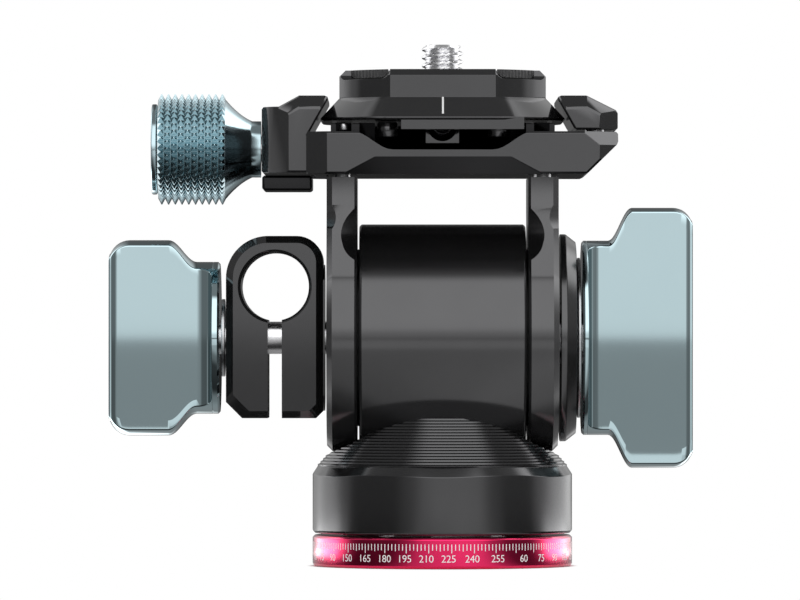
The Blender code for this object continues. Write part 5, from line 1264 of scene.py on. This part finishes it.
# %% All screws
base_screw = [(0, 6 * MM), (MM, 6 * MM), (MM, MM), (1.89 * MM, 0.3 * MM), (1.89 * MM, 0.15 * MM), (0, 0.15 * MM)]
base_nodes = [f"base_screw_{i + 1}" for i in range(3)]
screw_set("base_screw_copies", "base", base_screw, hexagon("hex_a", MM, -MM, 0.9 * MM), base_screw_places, base_nodes)

arm_middle = (ARM_INNER + ARM_OUTER) / 2
arm_places = [(x * arm_middle, y * 6 * MM, 0.0) for x in (-1, 1) for y in (-1, 1)]
arm_nodes = [f"arm_screw_{i + 1}" for i in range(4)]
arm_top = 66.5 * MM
arm_profile = cap_screw_profile(arm_top, 9.6 * MM)
arm_hex = hexagon("hex_b", 1.15 * MM, arm_top - 0.8 * MM, arm_top + MM)
screw_set("arm_screw_copies", "tilt", arm_profile, arm_hex, arm_places, arm_nodes)

jaw_places = [(23.58 * MM, y * 10.5 * MM, 0.0) for y in (-1, 1)]
jaw_nodes = ["jaw_screw_1", "jaw_screw_2"]
jaw_top = 70.25 * MM
jaw_profile = cap_screw_profile(jaw_top, 5.45 * MM)
jaw_hex = hexagon("hex_c", 1.15 * MM, jaw_top - 0.8 * MM, jaw_top + MM)
screw_set("jaw_screw_copies", "tilt", jaw_profile, jaw_hex, jaw_places, jaw_nodes)

# %% [markdown]
# ## The pieces inside
#
# The spindle, bearings, axle and drag cartridge are hidden in use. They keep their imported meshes, and
# each takes a finish, so that they look right when the head is taken apart.

# %% Finishes of the inner pieces
inner_finishes = {
    "pan_spindle": turned_steel,
    "drag_sleeve": turned_steel,
    "drag_rotor": turned_steel,
    "tilt_axle": turned_steel,
    "clamp_screw": turned_steel,
    "pan_drag_washer": polymer,
    "pan_retainer": bronze,
    "pan_bearing": bronze,
}
for node, finish in inner_finishes.items():
    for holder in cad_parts[node].material_slots:
        holder.material = finish
print("Inner pieces finished:", len(inner_finishes))

# %% [markdown]
# ## The studio
#
# Dark metal shows what stands round it more than its own colour. So a dome and a floor glow in levels
# that change with the direction round the object, the reach and the height, and only reflections see
# them. The levels were set for the camera's view, after the light and dark bands that the photograph
# shows; from behind they make the blue-grey faces nearly white. Three soft panels light the matt
# surfaces alone. The pale floor fades to the white backdrop close to the foot.

# %% Floor
def flat_card(name, corners):
    mesh = bpy.data.meshes.new(name)
    mesh.from_pydata([Vector(corner) for corner in corners], [], [tuple(range(len(corners)))])
    card = bpy.data.objects.new(name, mesh)
    bpy.context.scene.collection.objects.link(card)
    return card


floor_height = -0.03 * MM
floor = flat_card("floor", [(x, y, floor_height) for x, y in ((-3, -3), (3, -3), (3, 3), (-3, 3))])
pale = bpy.data.materials.new("pale_floor")
pale.use_nodes = True
tree = pale.node_tree
tree.nodes.clear()
matt = add_node(tree, "ShaderNodeBsdfDiffuse")
matt.inputs["Color"].default_value = linear("f4f4f4")
white = add_node(tree, "ShaderNodeEmission", {"Color": (1.0, 1.0, 1.0, 1.0), "Strength": 1.0})
place = add_node(tree, "ShaderNodeTexCoord").outputs["Object"]
away = add_node(tree, "ShaderNodeVectorMath", {0: place}, operation="LENGTH")
fade = add_node(
    tree,
    "ShaderNodeMapRange",
    {"Value": away.outputs["Value"], "From Min": 0.0199, "From Max": 0.0212},
    interpolation_type="SMOOTHSTEP",
)
seen = add_node(tree, "ShaderNodeLightPath").outputs["Is Camera Ray"]
share = maths(tree, "MULTIPLY", fade.outputs[0], seen)
mixed = add_node(tree, "ShaderNodeMixShader", {0: share, 1: matt.outputs[0], 2: white.outputs[0]})
add_node(tree, "ShaderNodeOutputMaterial", {"Surface": mixed.outputs[0]})
floor.data.materials.append(pale)

# %% Surround that only reflections see
def ramp(tree, value, stops, top):
    """Levels that change with a value from 0 to 1, from a list of places and levels."""
    made = add_node(tree, "ShaderNodeValToRGB", {"Fac": value})
    made.color_ramp.interpolation = "EASE"
    elements = made.color_ramp.elements
    elements.remove(elements[1])
    elements[0].position = stops[0][0]
    for place, level in stops:
        element = elements[0] if place == stops[0][0] else elements.new(place)
        element.color = (level / top, level / top, level / top, 1.0)
    return maths(tree, "MULTIPLY", made.outputs[0], top)


def round_about(*stops):
    """Places on a ramp from azimuths in degrees, counted from the camera's side."""
    return [((azimuth + 180) / 360, level) for azimuth, level in stops]


def blend(tree, share, first, second):
    mixed = add_node(tree, "ShaderNodeMix", {0: share, 2: first, 3: second})
    return mixed.outputs[0]


def surround_finish(name, build):
    """A glow worked out from where a point lies round the object."""
    material = bpy.data.materials.new(name)
    material.use_nodes = True
    tree = material.node_tree
    tree.nodes.clear()
    here = add_node(tree, "ShaderNodeTexCoord").outputs["Object"]
    parts = add_node(tree, "ShaderNodeSeparateXYZ", {"Vector": here})
    x, y, z = parts.outputs
    turn = maths(tree, "ARCTAN2", x, maths(tree, "MULTIPLY", y, -1.0))
    azimuth = maths(tree, "ADD", maths(tree, "DIVIDE", turn, math.tau), 0.5)
    squares = [maths(tree, "MULTIPLY", part, part) for part in (x, y)]
    reach = maths(tree, "SQRT", maths(tree, "ADD", *squares))
    level = build(tree, azimuth, reach, z)
    glow = add_node(tree, "ShaderNodeEmission", {"Color": (1.0, 1.0, 1.0, 1.0), "Strength": level})
    add_node(tree, "ShaderNodeOutputMaterial", {"Surface": glow.outputs[0]})
    return material


def far_levels(tree, azimuth):
    """The level at the horizon and below it."""
    return ramp(
        tree,
        azimuth,
        round_about((-180, 0.02), (-173, 0.04), (-157, 0.6), (-136, 1.4), (-118, 1.4), (-95, 0.45), (-80, 0.12),
                    (-45, 0.13), (-26, 0.32), (-10, 0.36), (30, 0.36), (50, 0.2), (80, 0.18), (95, 0.55), (120, 1.6),
                    (150, 1.6), (173, 0.04), (180, 0.02)),
        2.0,
    )


def wall_levels(tree, azimuth, reach, z):
    """The dome: the horizon, a low band, a brighter middle band and a dim top."""
    low = ramp(
        tree,
        azimuth,
        round_about((-180, 0.1), (-165, 0.5), (-150, 1.2), (-120, 1.5), (-100, 0.6), (-88, 0.2), (-45, 0.2), (-28, 0.4),
                    (-10, 1.0), (30, 1.0), (46, 0.4), (60, 0.25), (84, 0.3), (98, 0.9), (112, 1.5), (150, 1.5),
                    (165, 0.5), (180, 0.1)),
        3.0,
    )
    middle = ramp(
        tree,
        azimuth,
        round_about((-180, 0.1), (-150, 0.8), (-125, 2.6), (-108, 2.2), (-92, 0.3), (-40, 0.25), (-14, 1.8), (38, 1.8),
                    (58, 0.28), (90, 0.4), (106, 2.6), (130, 2.8), (155, 0.8), (180, 0.1)),
        3.0,
    )
    height = maths(tree, "DIVIDE", maths(tree, "ARCTAN2", z, reach), math.pi / 2)
    above = ramp(tree, maths(tree, "DIVIDE", z, 100 * MM), [(0.345, 0.0), (0.375, 1.0)], 1.0)
    to_middle = ramp(tree, height, [(0.035, 0.0), (0.13, 1.0)], 1.0)
    to_top = ramp(tree, height, [(0.65, 0.0), (0.76, 1.0)], 1.0)
    lower = blend(tree, above, far_levels(tree, azimuth), blend(tree, to_middle, low, middle))
    return blend(tree, to_top, lower, TOP_LEVEL)


def floor_levels(tree, azimuth, reach, z):
    """The floor's glow: near the object, further out and towards the horizon."""
    near = ramp(
        tree,
        azimuth,
        round_about((-180, 0.1), (-162, 0.25), (-148, 0.8), (-133, 4.0), (-103, 4.5), (-92, 1.4), (-82, 0.15),
                    (-72, 0.03), (-42, 0.05), (-30, 0.2), (-18, 0.52), (4, 0.68), (14, 0.84), (30, 0.74), (44, 0.3),
                    (56, 0.06), (80, 0.05), (88, 0.5), (102, 4.2), (127, 4.5), (145, 1.2), (162, 0.3), (180, 0.1)),
        5.0,
    )
    middle = ramp(
        tree,
        azimuth,
        round_about((-180, 0.02), (-173, 0.04), (-157, 0.6), (-134, 1.45), (-115, 1.4), (-95, 0.48), (-82, 0.13),
                    (-43, 0.13), (-28, 0.32), (-14, 0.85), (-4, 1.05), (28, 0.98), (45, 0.36), (58, 0.16), (78, 0.16),
                    (96, 0.61), (120, 1.7), (140, 1.75), (173, 0.04), (180, 0.02)),
        2.0,
    )
    beneath = ramp(
        tree,
        azimuth,
        round_about((-180, 0.2), (-110, 0.35), (-90, 0.25), (-72, 0.03), (-42, 0.05), (-30, 0.2), (-18, 0.52), (4, 0.7),
                    (14, 0.8), (30, 0.72), (44, 0.3), (56, 0.06), (80, 0.05), (90, 0.25), (110, 0.35), (180, 0.2)),
        1.0,
    )
    beyond_foot = ramp(tree, reach, [(0.055, 0.0), (0.075, 1.0)], 1.0)
    further = ramp(tree, reach, [(0.178, 0.0), (0.205, 1.0)], 1.0)
    furthest = ramp(tree, maths(tree, "DIVIDE", reach, DOME_RADIUS), [(0.29, 0.0), (0.34, 1.0)], 1.0)
    inner = blend(tree, further, blend(tree, beyond_foot, beneath, near), middle)
    return blend(tree, furthest, inner, far_levels(tree, azimuth))


def for_reflections(card):
    """Hides a card from all but reflections, so it casts no shadow and gives matt surfaces no light."""
    card.visible_camera = False
    card.visible_diffuse = False
    card.visible_transmission = False
    card.visible_shadow = False
    return card


TOP_LEVEL = 0.28
DOME_RADIUS = 3.0
DOME_FOOT = 0.06 * MM
angles = [math.pi / 2 * i / 24 for i in range(25)]
dome_profile = [(DOME_RADIUS * math.sin(a), DOME_FOOT + DOME_RADIUS * math.cos(a)) for a in angles]
dome = lathe("surround_dome", dome_profile, steps=96)
dome.data.materials.append(surround_finish("dome_glow", wall_levels))
skirt = lathe("surround_floor", [(DOME_RADIUS, 0.05 * MM), (22 * MM, 0.05 * MM)], steps=96)
skirt.data.materials.append(surround_finish("floor_glow", floor_levels))
for card in (dome, skirt):
    for_reflections(card)

# %% Lamps
def panel(name, middle, target, width, height, level):
    """A soft panel of a given level. It lights matt surfaces alone, for mirrors see the surround."""
    lamp = bpy.data.lights.new(name, "AREA")
    lamp.shape = "RECTANGLE"
    lamp.size = width
    lamp.size_y = height
    lamp.energy = math.pi * width * height * level
    holder = bpy.data.objects.new(name, lamp)
    bpy.context.scene.collection.objects.link(holder)
    holder.location = middle
    holder.rotation_euler = (Vector(target) - Vector(middle)).to_track_quat("-Z", "Y").to_euler()
    holder.visible_camera = False
    holder.visible_glossy = False
    return holder


lean = math.atan2(0.9, 1.565)
front_middle = Vector((0.16, -1.05, 0.818))
front_target = front_middle + Vector((0, math.cos(lean), -math.sin(lean)))
panel("front_panel", front_middle, front_target, 2.66, 1.805, 1.0)
for name, side in (("right_panel", 1), ("left_panel", -1)):
    panel(name, (side * 1.15, 0.75, 0.5), (0, 0, 0.04), 1.3, 1.6, 1.6)

# %% White backdrop
world = bpy.data.worlds.new("white_backdrop")
world.use_nodes = True
bpy.context.scene.world = world
tree = world.node_tree
tree.nodes.clear()
room = add_node(tree, "ShaderNodeBackground", {"Color": (1.0, 1.0, 1.0, 1.0), "Strength": 0.34})
backdrop = add_node(tree, "ShaderNodeBackground", {"Color": (1.0, 1.0, 1.0, 1.0), "Strength": 1.0})
seen = add_node(tree, "ShaderNodeLightPath").outputs["Is Camera Ray"]
mixed = add_node(tree, "ShaderNodeMixShader", {0: seen, 1: room.outputs[0], 2: backdrop.outputs[0]})
add_node(tree, "ShaderNodeOutputWorld", {"Surface": mixed.outputs[0]})

# %% [markdown]
# ## The camera
#
# The picture is a product view from straight in front with a long lens. The camera looks level along
# Y at the height of the tilt axis, and a small shift frames the object as the photograph does.

# %% Camera
lens = bpy.data.cameras.new("camera")
lens.sensor_width = 36
lens.lens = 348.3
lens.shift_y = 0.05125
lens.clip_end = 20
camera = bpy.data.objects.new("camera", lens)
bpy.context.scene.collection.objects.link(camera)
camera.location = (-6.56 * MM, -1.2, 34.8 * MM)
camera.rotation_euler = (math.pi / 2, 0, 0)
bpy.context.scene.camera = camera
bpy.context.scene.view_settings.view_transform = "Standard"
